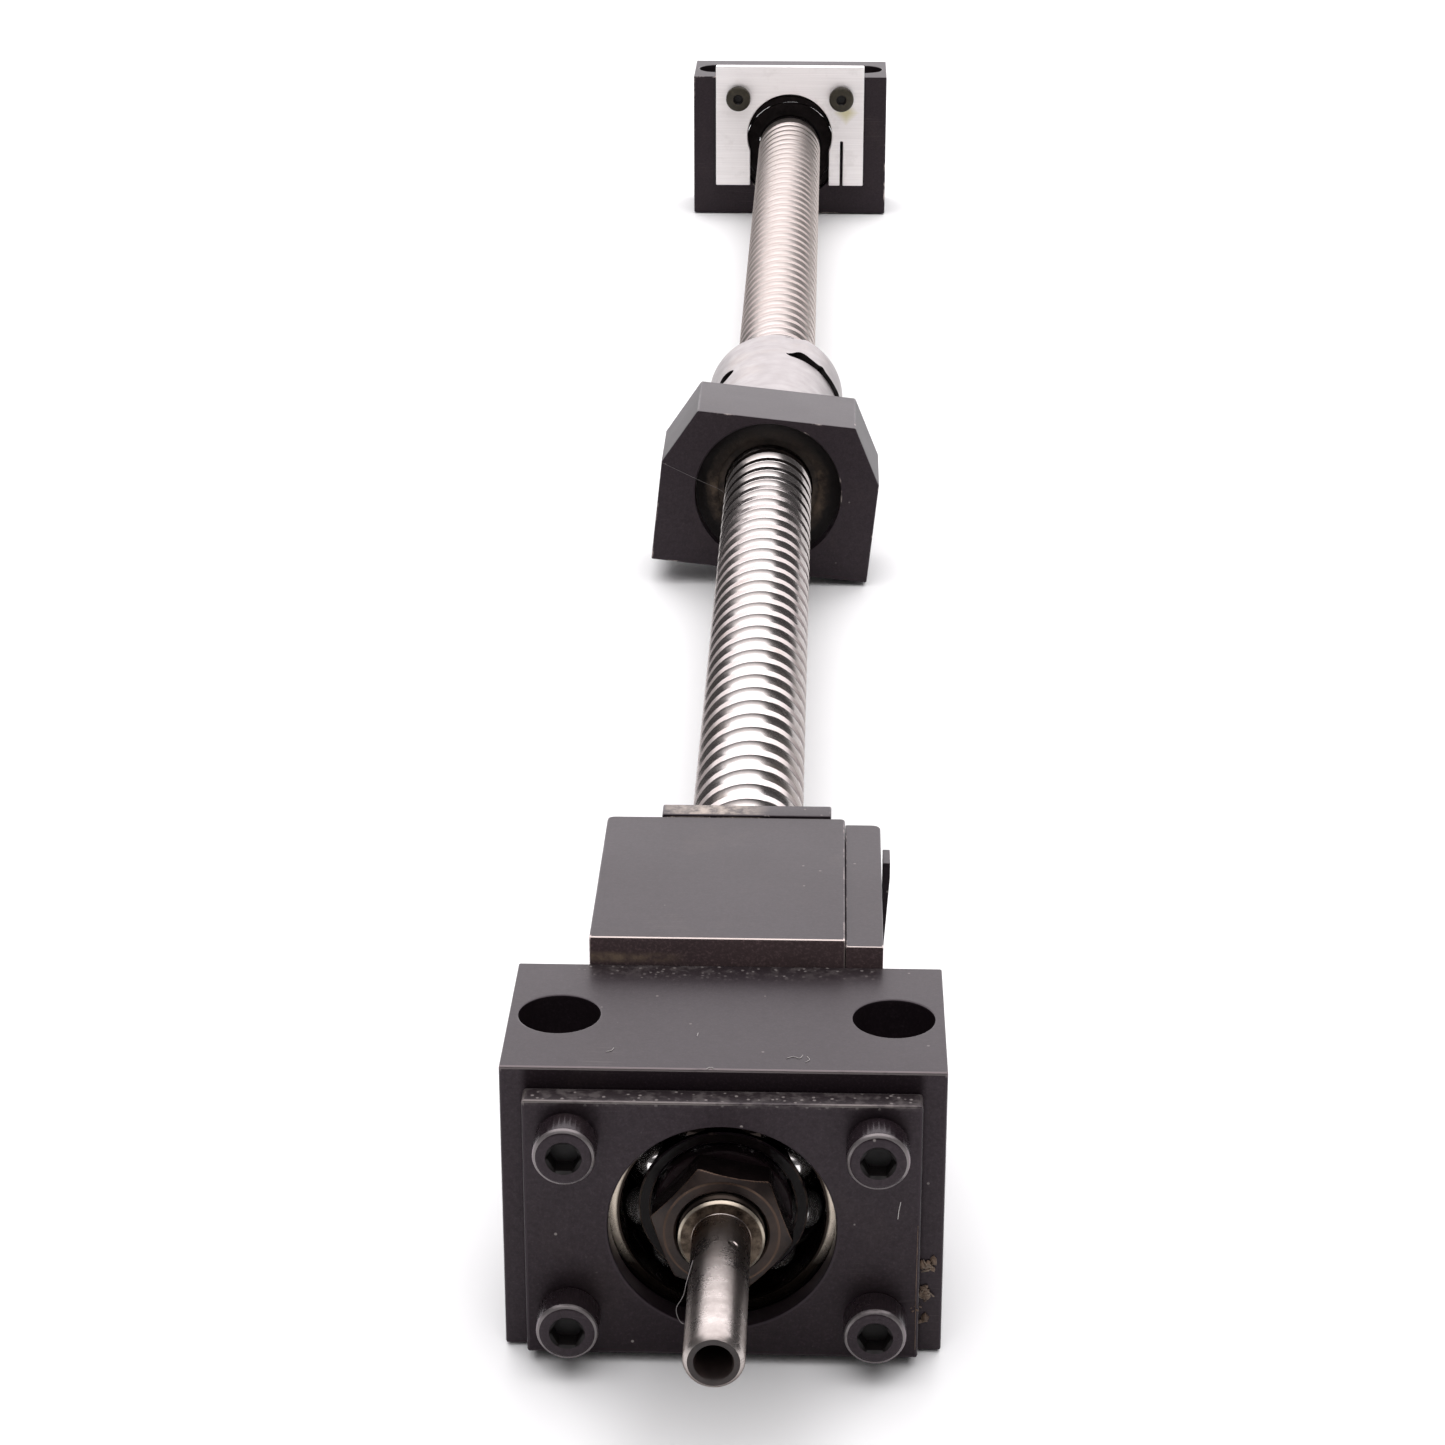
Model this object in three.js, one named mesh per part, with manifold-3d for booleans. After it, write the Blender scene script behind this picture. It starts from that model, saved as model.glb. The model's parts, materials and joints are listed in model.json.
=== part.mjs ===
// Ball screw assembly: a screw shaft turns in two support housings and drives a ball nut along itself.
// Millimetres. +Z is up and +Y runs along the screw, away from its drive end.
// The origin is the centre of the front housing's base. Sub-parts are built with y counted from that
// housing's front face, and one group moves them all back by half its depth.
import * as THREE from 'three';
import { mergeVertices } from 'three/addons/utils/BufferGeometryUtils.js';
import Module from 'manifold-3d';

const wasm = await Module();
wasm.setup();

// Driving dimensions
const GAP = 0.3; // between pieces that touch
const AXIS_HEIGHT = 21; // screw axis above the base
const HOUSING = { width: 60, height: 43, frontDepth: 31.5, rearDepth: 25 };
const REAR_FACE = 655; // front face of the rear housing
const MOUNT_BOLT = { pitch: 46, hole: 6.6, counterbore: 11.2, counterboreDepth: 7 };
const BEARING = { bore: 12, outside: 32, width: 10, ball: 5.6, balls: 9, cageWidth: 7.2 };
const SCREW = { diameter: 19.05, start: 30.5, end: REAR_FACE - 2 * GAP, chamfer: 1 };
const JOURNAL = BEARING.bore;
const DRIVE_END = {
  tip: -36.7, shoulder: -6.8, diameter: 8, chamfer: 0.6, centreHole: 5, centreDepth: 8,
};
const THREADED_END = { relief: 0.15, chamfer: 0.45 }; // M12 thread for the lock nut
const REAR_END = { beyondClip: 5, chamfer: 0.6 };
const COVER = { width: 53.4, height: 38.9, bottom: 1.2, thickness: 3.7, opening: 30.8 };
const COVER_SCREW = { spacingX: 41.5, spacingZ: 26.8, head: 8.5, headHeight: 5, shank: 5, hex: 4 };
const LOCK_NUT = { flats: 17, face: 15.8, front: -5.2, turn: 49 };
const TAPPED_DEPTH = 13; // holes for the cover's screws
const STOP_BLOCK = { left: -20, seam: 16.3, right: 21.7, top: 47, sideTop: 46, rear: 74.5, bore: 25 };
const STOP_SCREW = {
  x: [-15.5, 12], z: 39, shank: 4, head: 7, headHeight: 4, hex: 3, headDepth: 6, engaged: 6,
};
const BASE_CLEARANCE = 0.6; // the stop block hangs on the housing, just off the mounting surface
const STOP_PLATE = { left: -11.7, right: 14.2, top: 47.2, bottom: 5, thickness: 4, bore: 22 };
const SIDE_FLAG = { front: 64, rear: 69, bottom: 28, top: 44.4, thickness: 1.1 };
const REAR_PLATE = {
  width: 46, bottom: 9.5, top: 46.7, thickness: 3,
  archRadius: 13.15, archHeight: 25, slotHalfWidth: 12.3, slotTop: 21.4,
  screwX: 16, screwZ: 37, slitX: 16.2, slitWidth: 1.6, slitTop: 23.5,
};
const PLATE_SCREW = { head: 7.6, headHeight: 2.6, shank: 4, hex: 2.5, length: 10, tapped: 9 };
const BRACKET = {
  front: 310, thickness: 23, halfWidth: 24, above: 17.1, below: 18.1, cornerX: 6.7, cornerZ: 12.5,
  bore: 32, roll: 6.1,
};
const GRUB_SCREW = { diameter: 4.4, hole: 5, sunk: 0.5 };
const BALL_NUT = { front: 314.5, rear: 384.2, diameter: 31, bore: 20.6, chamfer: 1 };
const WIPER = { pocket: 4, width: 3.4, recess: 1.8 };
const RETURN_GUIDE = {
  pocketFront: 367, front: 368.6, rear: 382.3, outer: 16.4, seat: 13.6, from: 10, to: 100, trim: 1.5,
};

const BLACK_OXIDE = { color: 0x2f2b2e, roughness: 0.42, metalness: 0.55 };
const GREY_OXIDE = { color: 0x5c5759, roughness: 0.5, metalness: 0.5 };
const GROUND_STEEL = { color: 0xb9b4ae, roughness: 0.25, metalness: 1 };
const BEARING_STEEL = { color: 0xc4bfb6, roughness: 0.2, metalness: 1 };
const NUT_STEEL = { color: 0xbdb7b3, roughness: 0.4, metalness: 0.9 };
const ALUMINIUM = { color: 0xd8d2cf, roughness: 0.45, metalness: 0.8 };
const BROWNED_STEEL = { color: 0x3a2f2a, roughness: 0.4, metalness: 0.7 };
const CAGE_BLACK = { color: 0x1b191a, roughness: 0.4, metalness: 0.3 };
const SEAL_BROWN = { color: 0x4a3d33, roughness: 0.7, metalness: 0 };

const FINE = 32; // sides of a large round piece
const COARSE = 20; // sides of a small round piece
const RACE_SIDES = 3 * BEARING.balls; // sides of a bearing ring

const assembly = new THREE.Group();
const sections = new THREE.Group();
sections.position.y = -HOUSING.frontDepth / 2;
assembly.add(sections);

function add(name, geometry, look, parent = sections) {
  const mesh = new THREE.Mesh(geometry, new THREE.MeshStandardMaterial(look));
  mesh.name = name;
  parent.add(mesh);
  return mesh;
}

// Booleans

function toManifold(geometry) {
  const bare = geometry.clone();
  bare.deleteAttribute('normal');
  bare.deleteAttribute('uv');
  const merged = mergeVertices(bare, 1e-4);
  return new wasm.Manifold(new wasm.Mesh({
    numProp: 3,
    vertProperties: new Float32Array(merged.attributes.position.array),
    triVerts: new Uint32Array(merged.index.array),
  }));
}

function toGeometry(manifold) {
  const mesh = manifold.getMesh();
  const geometry = new THREE.BufferGeometry();
  geometry.setAttribute('position', new THREE.BufferAttribute(mesh.vertProperties, 3));
  geometry.setIndex(new THREE.BufferAttribute(mesh.triVerts, 1));
  geometry.computeVertexNormals();
  return geometry;
}

function cut(base, ...tools) {
  return toGeometry(tools.reduce((solid, tool) => solid.subtract(toManifold(tool)), toManifold(base)));
}

function join(...pieces) {
  return toGeometry(pieces.map(toManifold).reduce((solid, piece) => solid.add(piece)));
}

// Basic shapes, all in place: round ones turn about the screw axis unless they say otherwise

function block(x0, x1, y0, y1, z0, z1) {
  const box = new THREE.BoxGeometry(x1 - x0, y1 - y0, z1 - z0);
  return box.translate((x0 + x1) / 2, (y0 + y1) / 2, (z0 + z1) / 2);
}

function turned(profile, sides = FINE) {
  const points = profile.map(([radius, y]) => new THREE.Vector2(radius, y));
  return new THREE.LatheGeometry(points, sides).translate(0, 0, AXIS_HEIGHT);
}

function ring(inner, outer, y0, y1, sides = FINE) {
  return turned([[inner, y0], [outer, y0], [outer, y1], [inner, y1], [inner, y0]], sides);
}

function disc(radius, y0, y1, sides = FINE) {
  return turned([[0, y0], [radius, y0], [radius, y1], [0, y1]], sides);
}

function verticalPeg(radius, x, y, z0, z1) {
  const peg = new THREE.CylinderGeometry(radius, radius, z1 - z0, COARSE);
  return peg.rotateX(Math.PI / 2).translate(x, y, (z0 + z1) / 2);
}

function pegAlongY(radius, x, z, y0, y1, sides = COARSE) {
  return new THREE.CylinderGeometry(radius, radius, y1 - y0, sides).translate(x, (y0 + y1) / 2, z);
}

// An outline in x and z, extruded along y from y0 to y1
function plateAlongY(shape, y0, y1) {
  const options = { depth: y1 - y0, bevelEnabled: false, curveSegments: 20 };
  return new THREE.ExtrudeGeometry(shape, options).rotateX(Math.PI / 2).translate(0, y1, 0);
}

// A hexagon prism along y, a corner at the angle turn from +X
function hexPrism(flats, x, z, y0, y1, turn = 0) {
  const prism = new THREE.CylinderGeometry(flats / Math.sqrt(3), flats / Math.sqrt(3), y1 - y0, 6);
  return prism.rotateY(THREE.MathUtils.degToRad(turn + 90)).translate(x, (y0 + y1) / 2, z);
}

// Support housings

function mountingHoles(y) {
  const { pitch, hole, counterbore, counterboreDepth } = MOUNT_BOLT;
  const sides = [-pitch / 2, pitch / 2];
  return sides.flatMap((x) => [
    verticalPeg(hole / 2, x, y, -1, HOUSING.height + 1),
    verticalPeg(counterbore / 2, x, y, HOUSING.height - counterboreDepth, HOUSING.height + 1),
  ]);
}

function housingBlock(y0, depth) {
  return block(-HOUSING.width / 2, HOUSING.width / 2, y0, y0 + depth, 0, HOUSING.height);
}

const SEAL = { inner: 9.3, outer: 11.9, front: 23.5, rear: 28 };
const bearingSeat = BEARING.outside / 2 + GAP;
const frontSeatDepth = 2 * BEARING.width + 3 * GAP;

function frontHousing() {
  const depth = HOUSING.frontDepth;
  const { spacingX, spacingZ, shank } = COVER_SCREW;
  const tapped = corners(spacingX, spacingZ).map(([x, z]) => pegAlongY(shank / 2, x, z, -1, TAPPED_DEPTH));
  const blockHoles = STOP_SCREW.x.map((x) => (
    pegAlongY(STOP_SCREW.shank / 2, x, STOP_SCREW.z, depth - STOP_SCREW.engaged - 2, depth + 1)
  ));
  return cut(
    housingBlock(0, depth),
    disc(bearingSeat, -1, frontSeatDepth),
    disc(SEAL.outer + GAP, 0, depth + 1),
    ...tapped,
    ...blockHoles,
    ...mountingHoles(depth / 2),
  );
}

function corners(spacingX, spacingZ) {
  return [[-1, 1], [1, 1], [-1, -1], [1, -1]].map(([a, b]) => [
    (a * spacingX) / 2,
    AXIS_HEIGHT + (b * spacingZ) / 2,
  ]);
}

function frontCover() {
  const { width, height, bottom, thickness, opening } = COVER;
  const { spacingX, spacingZ, shank } = COVER_SCREW;
  const plate = block(-width / 2, width / 2, -thickness - GAP, -GAP, bottom, bottom + height);
  const holes = corners(spacingX, spacingZ).map(([x, z]) => (
    pegAlongY(shank / 2 + GAP, x, z, -thickness - 1, 1)
  ));
  return cut(plate, disc(opening / 2, -thickness - 1, 1), ...holes);
}

// Socket head cap screw along y, its head's underside at y and its shank running to +y
function capScrew(x, y, z, { head, headHeight, shank, hex }, length) {
  const solid = join(
    pegAlongY(head / 2, x, z, y - headHeight, y),
    pegAlongY(shank / 2 - GAP, x, z, y - 1, y + length, 16),
  );
  return cut(solid, hexPrism(hex, x, z, y - headHeight - 1, y - headHeight / 2, 90));
}

function buildFrontSupport() {
  add('front_housing', frontHousing(), BLACK_OXIDE);
  add('front_cover', frontCover(), BLACK_OXIDE);
  const under = -COVER.thickness - 2 * GAP;
  corners(COVER_SCREW.spacingX, COVER_SCREW.spacingZ).forEach(([x, z], i) => {
    add(`cover_screw_${i + 1}`, capScrew(x, under, z, COVER_SCREW, 14), BLACK_OXIDE);
  });
  add('housing_seal', ring(SEAL.inner, SEAL.outer, SEAL.front, SEAL.rear), CAGE_BLACK);
}

// Bearings

const PITCH_RADIUS = (BEARING.bore + BEARING.outside) / 4;
const RACE = { inner: PITCH_RADIUS - 1.6, outer: PITCH_RADIUS + 2.9 };
const CAGE_HALF = 1.1; // half of the cage's thickness, from its inside to its outside

// The profile of one race: a plain ring with a round groove on the side that the balls run in
function race(wall, face, y) {
  const grooveRadius = BEARING.ball / 2 + GAP;
  const middle = y + BEARING.width / 2;
  const half = Math.acos(Math.abs(face - PITCH_RADIUS) / grooveRadius);
  const away = Math.sign(face - PITCH_RADIUS);
  const groove = [];
  for (let i = -2; i <= 2; i += 1) {
    const angle = (half * i) / 2;
    groove.push([
      PITCH_RADIUS + away * grooveRadius * Math.cos(angle),
      middle + grooveRadius * Math.sin(angle),
    ]);
  }
  const end = y + BEARING.width;
  if (away < 0) {
    return turned([[wall, y], [face, y], ...groove, [face, end], [wall, end], [wall, y]], RACE_SIDES);
  }
  groove.reverse();
  return turned([[face, end], ...groove, [face, y], [wall, y], [wall, end], [face, end]], RACE_SIDES);
}

// A machined cage with its balls held in it as one piece
function cageWithBalls(y) {
  const middle = y + BEARING.width / 2;
  const half = BEARING.cageWidth / 2;
  const inside = PITCH_RADIUS - CAGE_HALF;
  const cage = ring(inside, PITCH_RADIUS + CAGE_HALF, middle - half, middle + half, RACE_SIDES);
  const balls = Array.from({ length: BEARING.balls }, (_, i) => {
    const angle = (2 * Math.PI * (i + 0.5)) / BEARING.balls;
    const ball = new THREE.SphereGeometry(BEARING.ball / 2, 8, 5);
    return ball.translate(
      PITCH_RADIUS * Math.sin(angle),
      middle,
      AXIS_HEIGHT + PITCH_RADIUS * Math.cos(angle),
    );
  });
  return join(cage, ...balls);
}

function buildBearing(name, y) {
  add(`${name}_outer_ring`, race(BEARING.outside / 2, RACE.outer, y), BEARING_STEEL);
  add(`${name}_inner_ring`, race(BEARING.bore / 2 + GAP, RACE.inner, y), BEARING_STEEL);
  add(`${name}_ball_cage`, cageWithBalls(y), CAGE_BLACK);
}

const REAR_BEARING = REAR_FACE + 1;

function buildBearings() {
  buildBearing('front_bearing', GAP);
  buildBearing('inner_bearing', BEARING.width + 2 * GAP);
  buildBearing('rear_bearing', REAR_BEARING);
}

// Screw and what turns with it

const CIRCLIP = {
  front: REAR_BEARING + BEARING.width + GAP, thickness: 1, play: 0.2, inner: 5.7, outer: 7.8,
};

function screwShaft() {
  const { tip, shoulder, diameter, chamfer, centreHole, centreDepth } = DRIVE_END;
  const drive = diameter / 2;
  const hole = centreHole / 2;
  const journal = JOURNAL / 2;
  const crest = journal - THREADED_END.relief;
  const thread = SCREW.diameter / 2;
  const clipFront = CIRCLIP.front - CIRCLIP.play;
  const clipRear = CIRCLIP.front + CIRCLIP.thickness + CIRCLIP.play;
  const groove = CIRCLIP.inner - GAP;
  const end = CIRCLIP.front + REAR_END.beyondClip;
  return turned([
    [0, tip + centreDepth + 1], [hole, tip + centreDepth], [hole, tip],
    [drive - chamfer, tip], [drive, tip + chamfer], [drive, shoulder],
    [crest - THREADED_END.chamfer, shoulder], [crest, shoulder + THREADED_END.chamfer], [crest, 0],
    [journal, 0], [journal, SCREW.start], [thread - SCREW.chamfer, SCREW.start],
    [thread, SCREW.start + SCREW.chamfer], [thread, SCREW.end - SCREW.chamfer],
    [thread - SCREW.chamfer, SCREW.end], [journal, SCREW.end],
    [journal, clipFront], [groove, clipFront], [groove, clipRear], [journal, clipRear],
    [journal, end - REAR_END.chamfer], [journal - REAR_END.chamfer, end], [0, end],
  ]);
}

function lockNut() {
  const { flats, face, front, turn } = LOCK_NUT;
  const corner = flats / Math.sqrt(3);
  const faceRadius = face / 2;
  const chamfer = (corner - faceRadius) * Math.tan(Math.PI / 6);
  const hexagon = hexPrism(flats, 0, AXIS_HEIGHT, front, 0, turn);
  const dome = turned([[0, front], [faceRadius, front], [corner, front + chamfer], [corner, 0], [0, 0]]);
  const blank = toGeometry(toManifold(hexagon).intersect(toManifold(dome)));
  return cut(blank, disc(JOURNAL / 2 + GAP, front - 1, 1));
}

// Spring-steel ring with a gap, in the groove behind the rear bearing
function circlip() {
  const { front, thickness, inner, outer } = CIRCLIP;
  const open = 0.45; // half of the gap, in radians
  const shape = new THREE.Shape();
  const first = -Math.PI / 2 + open;
  const last = (3 * Math.PI) / 2 - open;
  shape.absarc(0, AXIS_HEIGHT, outer, first, last, false);
  shape.absarc(0, AXIS_HEIGHT, inner, last, first, true);
  return plateAlongY(shape, front, front + thickness);
}

function buildScrew() {
  add('screw_shaft', screwShaft(), GROUND_STEEL);
  add('lock_nut', lockNut(), BROWNED_STEEL);
  const collarFront = frontSeatDepth;
  add('screw_collar', ring(JOURNAL / 2 + GAP, 9, collarFront, SCREW.start - GAP), GROUND_STEEL);
  add('rear_circlip', circlip(), BROWNED_STEEL);
}

// Stop block behind the front housing

function buildStopBlock() {
  const { left, seam, right, top, sideTop, rear, bore } = STOP_BLOCK;
  const front = HOUSING.frontDepth + GAP;
  const { x: screwX, z: screwZ, shank, head, headDepth, engaged } = STOP_SCREW;
  const screwHoles = screwX.flatMap((x) => [
    pegAlongY(shank / 2 + GAP, x, screwZ, front - 1, rear + 1),
    pegAlongY(head / 2 + 2 * GAP, x, screwZ, rear - headDepth, rear + 1),
  ]);
  const body = block(left, seam, front, rear, BASE_CLEARANCE, top);
  add('stop_block', cut(body, disc(bore / 2, front - 1, rear + 1), ...screwHoles), GREY_OXIDE);
  const strip = block(seam + GAP, right, front, rear, BASE_CLEARANCE, sideTop);
  const flagX = right + GAP;
  const { front: flagFront, rear: flagRear, bottom, top: flagTop, thickness } = SIDE_FLAG;
  add('stop_side_strip', strip, GREY_OXIDE);
  add('side_flag', block(flagX, flagX + thickness, flagFront, flagRear, bottom, flagTop), BLACK_OXIDE);
  const under = rear - headDepth + GAP;
  screwX.forEach((x, i) => {
    const screw = capScrew(0, 0, 0, STOP_SCREW, under - HOUSING.frontDepth + engaged);
    add(`stop_screw_${i + 1}`, screw.rotateZ(Math.PI).translate(x, under, screwZ), BLACK_OXIDE);
  });
}

function buildStopPlate() {
  const { left, right, top, bottom, thickness, bore } = STOP_PLATE;
  const y0 = STOP_BLOCK.rear + GAP;
  const plate = block(left, right, y0, y0 + thickness, bottom, top);
  add('stop_plate', cut(plate, disc(bore / 2, y0 - 1, y0 + thickness + 1)), GREY_OXIDE);
}

// Ball nut and its bracket: both are rolled together about the screw axis

function aboutAxis(degrees) {
  const group = new THREE.Group();
  const roll = new THREE.Group();
  group.position.z = AXIS_HEIGHT;
  roll.rotation.y = THREE.MathUtils.degToRad(degrees);
  group.add(roll);
  sections.add(group);
  return roll;
}

function bracketShape() {
  const { halfWidth, above, below, cornerX, cornerZ } = BRACKET;
  const shape = new THREE.Shape();
  shape.moveTo(-halfWidth, -below);
  shape.lineTo(halfWidth, -below);
  shape.lineTo(halfWidth, above - cornerZ);
  shape.lineTo(halfWidth - cornerX, above);
  shape.lineTo(-halfWidth + cornerX, above);
  shape.lineTo(-halfWidth, above - cornerZ);
  return shape;
}

function buildBracket(roll) {
  const { front, thickness, bore, below } = BRACKET;
  const { diameter, hole: grubHoleSize, sunk } = GRUB_SCREW;
  const rear = front + thickness;
  const blank = plateAlongY(bracketShape(), front, rear);
  const hole = disc(bore / 2, front - 1, rear + 1).translate(0, 0, -AXIS_HEIGHT);
  const grubY = (front + rear) / 2;
  const grubHole = verticalPeg(grubHoleSize / 2, 0, grubY, -below - 1, 0);
  add('nut_bracket', cut(blank, hole, grubHole), BLACK_OXIDE, roll);
  const grub = verticalPeg(diameter / 2, 0, grubY, -below + sunk, -bore / 2 + 0.1);
  add('bracket_grub_screw', grub, BROWNED_STEEL, roll);
}

// Part of a ring between two angles, in degrees from the top towards +X
function guideSector(inner, outer, y0, y1, from, to) {
  const shape = new THREE.Shape();
  const first = THREE.MathUtils.degToRad(90 - to);
  const last = THREE.MathUtils.degToRad(90 - from);
  shape.absarc(0, AXIS_HEIGHT, outer, first, last, false);
  shape.absarc(0, AXIS_HEIGHT, inner, last, first, true);
  return plateAlongY(shape, y0, y1);
}

function buildBallNut() {
  const { front, rear, diameter, bore, chamfer } = BALL_NUT;
  const { pocket: wiperPocket, width: wiperWidth, recess } = WIPER;
  const guide = RETURN_GUIDE;
  const radius = diameter / 2;
  const inner = bore / 2;
  const sealSeat = inner + recess;
  const body = turned([
    [sealSeat, front], [radius - chamfer, front], [radius, front + chamfer],
    [radius, rear - chamfer], [radius - chamfer, rear],
    [sealSeat, rear], [sealSeat, rear - wiperPocket], [inner, rear - wiperPocket],
    [inner, front + wiperPocket], [sealSeat, front + wiperPocket], [sealSeat, front],
  ]);
  const pocket = guideSector(
    guide.seat - GAP, radius + 3, guide.pocketFront, guide.rear + GAP, guide.from, guide.to,
  );
  add('ball_nut_body', cut(body, pocket), NUT_STEEL);
  add('return_guide', guideSector(
    guide.seat, guide.outer, guide.front, guide.rear, guide.from + guide.trim, guide.to - guide.trim,
  ), NUT_STEEL);
  const wiper = (y) => ring(SCREW.diameter / 2 + GAP, sealSeat - GAP, y, y + wiperWidth, FINE);
  const sunk = (wiperPocket - wiperWidth) / 2;
  add('front_wiper', wiper(front + sunk), SEAL_BROWN);
  add('rear_wiper', wiper(rear - sunk - wiperWidth), SEAL_BROWN);
}

// Rear support

function rearHousing() {
  const y0 = REAR_FACE;
  const seatEnd = REAR_BEARING + BEARING.width + 2 * GAP;
  const { shank, tapped } = PLATE_SCREW;
  const screwHoles = [-1, 1].map((side) => (
    pegAlongY(shank / 2, side * REAR_PLATE.screwX, REAR_PLATE.screwZ, y0 - 1, y0 + tapped)
  ));
  return cut(
    housingBlock(y0, HOUSING.rearDepth),
    disc(bearingSeat, y0 - 1, seatEnd),
    disc(RACE.outer - GAP, y0, y0 + HOUSING.rearDepth + 1),
    ...screwHoles,
    ...mountingHoles(y0 + HOUSING.rearDepth / 2),
  );
}

function rearPlate() {
  const plate = REAR_PLATE;
  const y1 = REAR_FACE - GAP;
  const y0 = y1 - plate.thickness;
  const arch = disc(plate.archRadius, y0 - 1, y1 + 1).translate(0, 0, plate.archHeight - AXIS_HEIGHT);
  const legGap = block(-plate.slotHalfWidth, plate.slotHalfWidth, y0 - 1, y1 + 1, 0, plate.slotTop);
  const slitLeft = plate.slitX - plate.slitWidth / 2;
  const slit = block(slitLeft, slitLeft + plate.slitWidth, y0 - 1, y1 + 1, 0, plate.slitTop);
  const holes = [-1, 1].map((side) => (
    pegAlongY(PLATE_SCREW.shank / 2 + GAP, side * plate.screwX, plate.screwZ, y0 - 1, y1 + 1)
  ));
  const blank = block(-plate.width / 2, plate.width / 2, y0, y1, plate.bottom, plate.top);
  return cut(blank, arch, legGap, slit, ...holes);
}

function buildRearSupport() {
  add('rear_housing', rearHousing(), BLACK_OXIDE);
  add('rear_plate', rearPlate(), ALUMINIUM);
  const under = REAR_FACE - REAR_PLATE.thickness - 2 * GAP;
  [-1, 1].forEach((side, i) => {
    const { screwX, screwZ } = REAR_PLATE;
    const screw = capScrew(side * screwX, under, screwZ, PLATE_SCREW, PLATE_SCREW.length);
    add(`rear_plate_screw_${i + 1}`, screw, BROWNED_STEEL);
  });
}

buildFrontSupport();
buildBearings();
buildScrew();
buildStopBlock();
buildStopPlate();
buildBracket(aboutAxis(BRACKET.roll));
buildBallNut();
buildRearSupport();

export default assembly;
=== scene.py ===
"""Ball screw assembly: the looks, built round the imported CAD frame.

Shapes are worked out in millimetres, with y counted from the front housing's front face and z from the
mounting surface, and make() turns them into metres in the frame's own axes.
"""
import json
import math
import random

import bmesh
import bpy
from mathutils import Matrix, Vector


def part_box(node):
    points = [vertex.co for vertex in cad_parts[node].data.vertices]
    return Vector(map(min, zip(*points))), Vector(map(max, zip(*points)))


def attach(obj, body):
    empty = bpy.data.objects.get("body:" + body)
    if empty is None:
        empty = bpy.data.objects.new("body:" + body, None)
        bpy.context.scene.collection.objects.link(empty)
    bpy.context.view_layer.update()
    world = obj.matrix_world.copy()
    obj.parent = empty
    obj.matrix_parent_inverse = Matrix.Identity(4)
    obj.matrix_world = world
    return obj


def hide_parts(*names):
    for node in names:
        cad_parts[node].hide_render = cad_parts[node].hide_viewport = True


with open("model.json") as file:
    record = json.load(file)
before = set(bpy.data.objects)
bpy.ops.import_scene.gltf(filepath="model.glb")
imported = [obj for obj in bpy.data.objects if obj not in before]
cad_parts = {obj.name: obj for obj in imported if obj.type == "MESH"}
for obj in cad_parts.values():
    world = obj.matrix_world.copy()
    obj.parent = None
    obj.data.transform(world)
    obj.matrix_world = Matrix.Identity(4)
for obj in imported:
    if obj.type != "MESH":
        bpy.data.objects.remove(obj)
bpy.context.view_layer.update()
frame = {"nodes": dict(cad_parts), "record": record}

MM = 0.001
FRONT = Vector((0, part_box("front_housing")[0][1] / MM, 0))  # the front face, in the frame


def corners(node):
    """A CAD node's lowest and highest corners in millimetres, with y counted from the front face."""
    return [Vector(corner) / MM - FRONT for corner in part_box(node)]


def middle_of(face):
    """The middle of a mesh's face in millimetres, with y counted from the front face."""
    return face.center / MM - FRONT


def joint(name):
    return next(j for j in frame["record"]["behaviour"]["joints"] if j["name"] == name)


def coupling(name):
    return next(c for c in frame["record"]["behaviour"]["couplings"] if c["joint"] == name)


AXIS = joint("screw_spin")["pos_m"][2] / MM  # height of the screw's axis
LEAD = abs(coupling("nut_travel")["ratio"]) * math.tau / MM


def off_axis(point):
    return math.hypot(point.x, point.z - AXIS)


def span(node):
    """Where a CAD node starts and ends along the screw, from the front face."""
    low, high = corners(node)
    return low.y, high.y


def radius_of(node):
    low, high = corners(node)
    return (high.x - low.x) / 2


# Node trees


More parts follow.
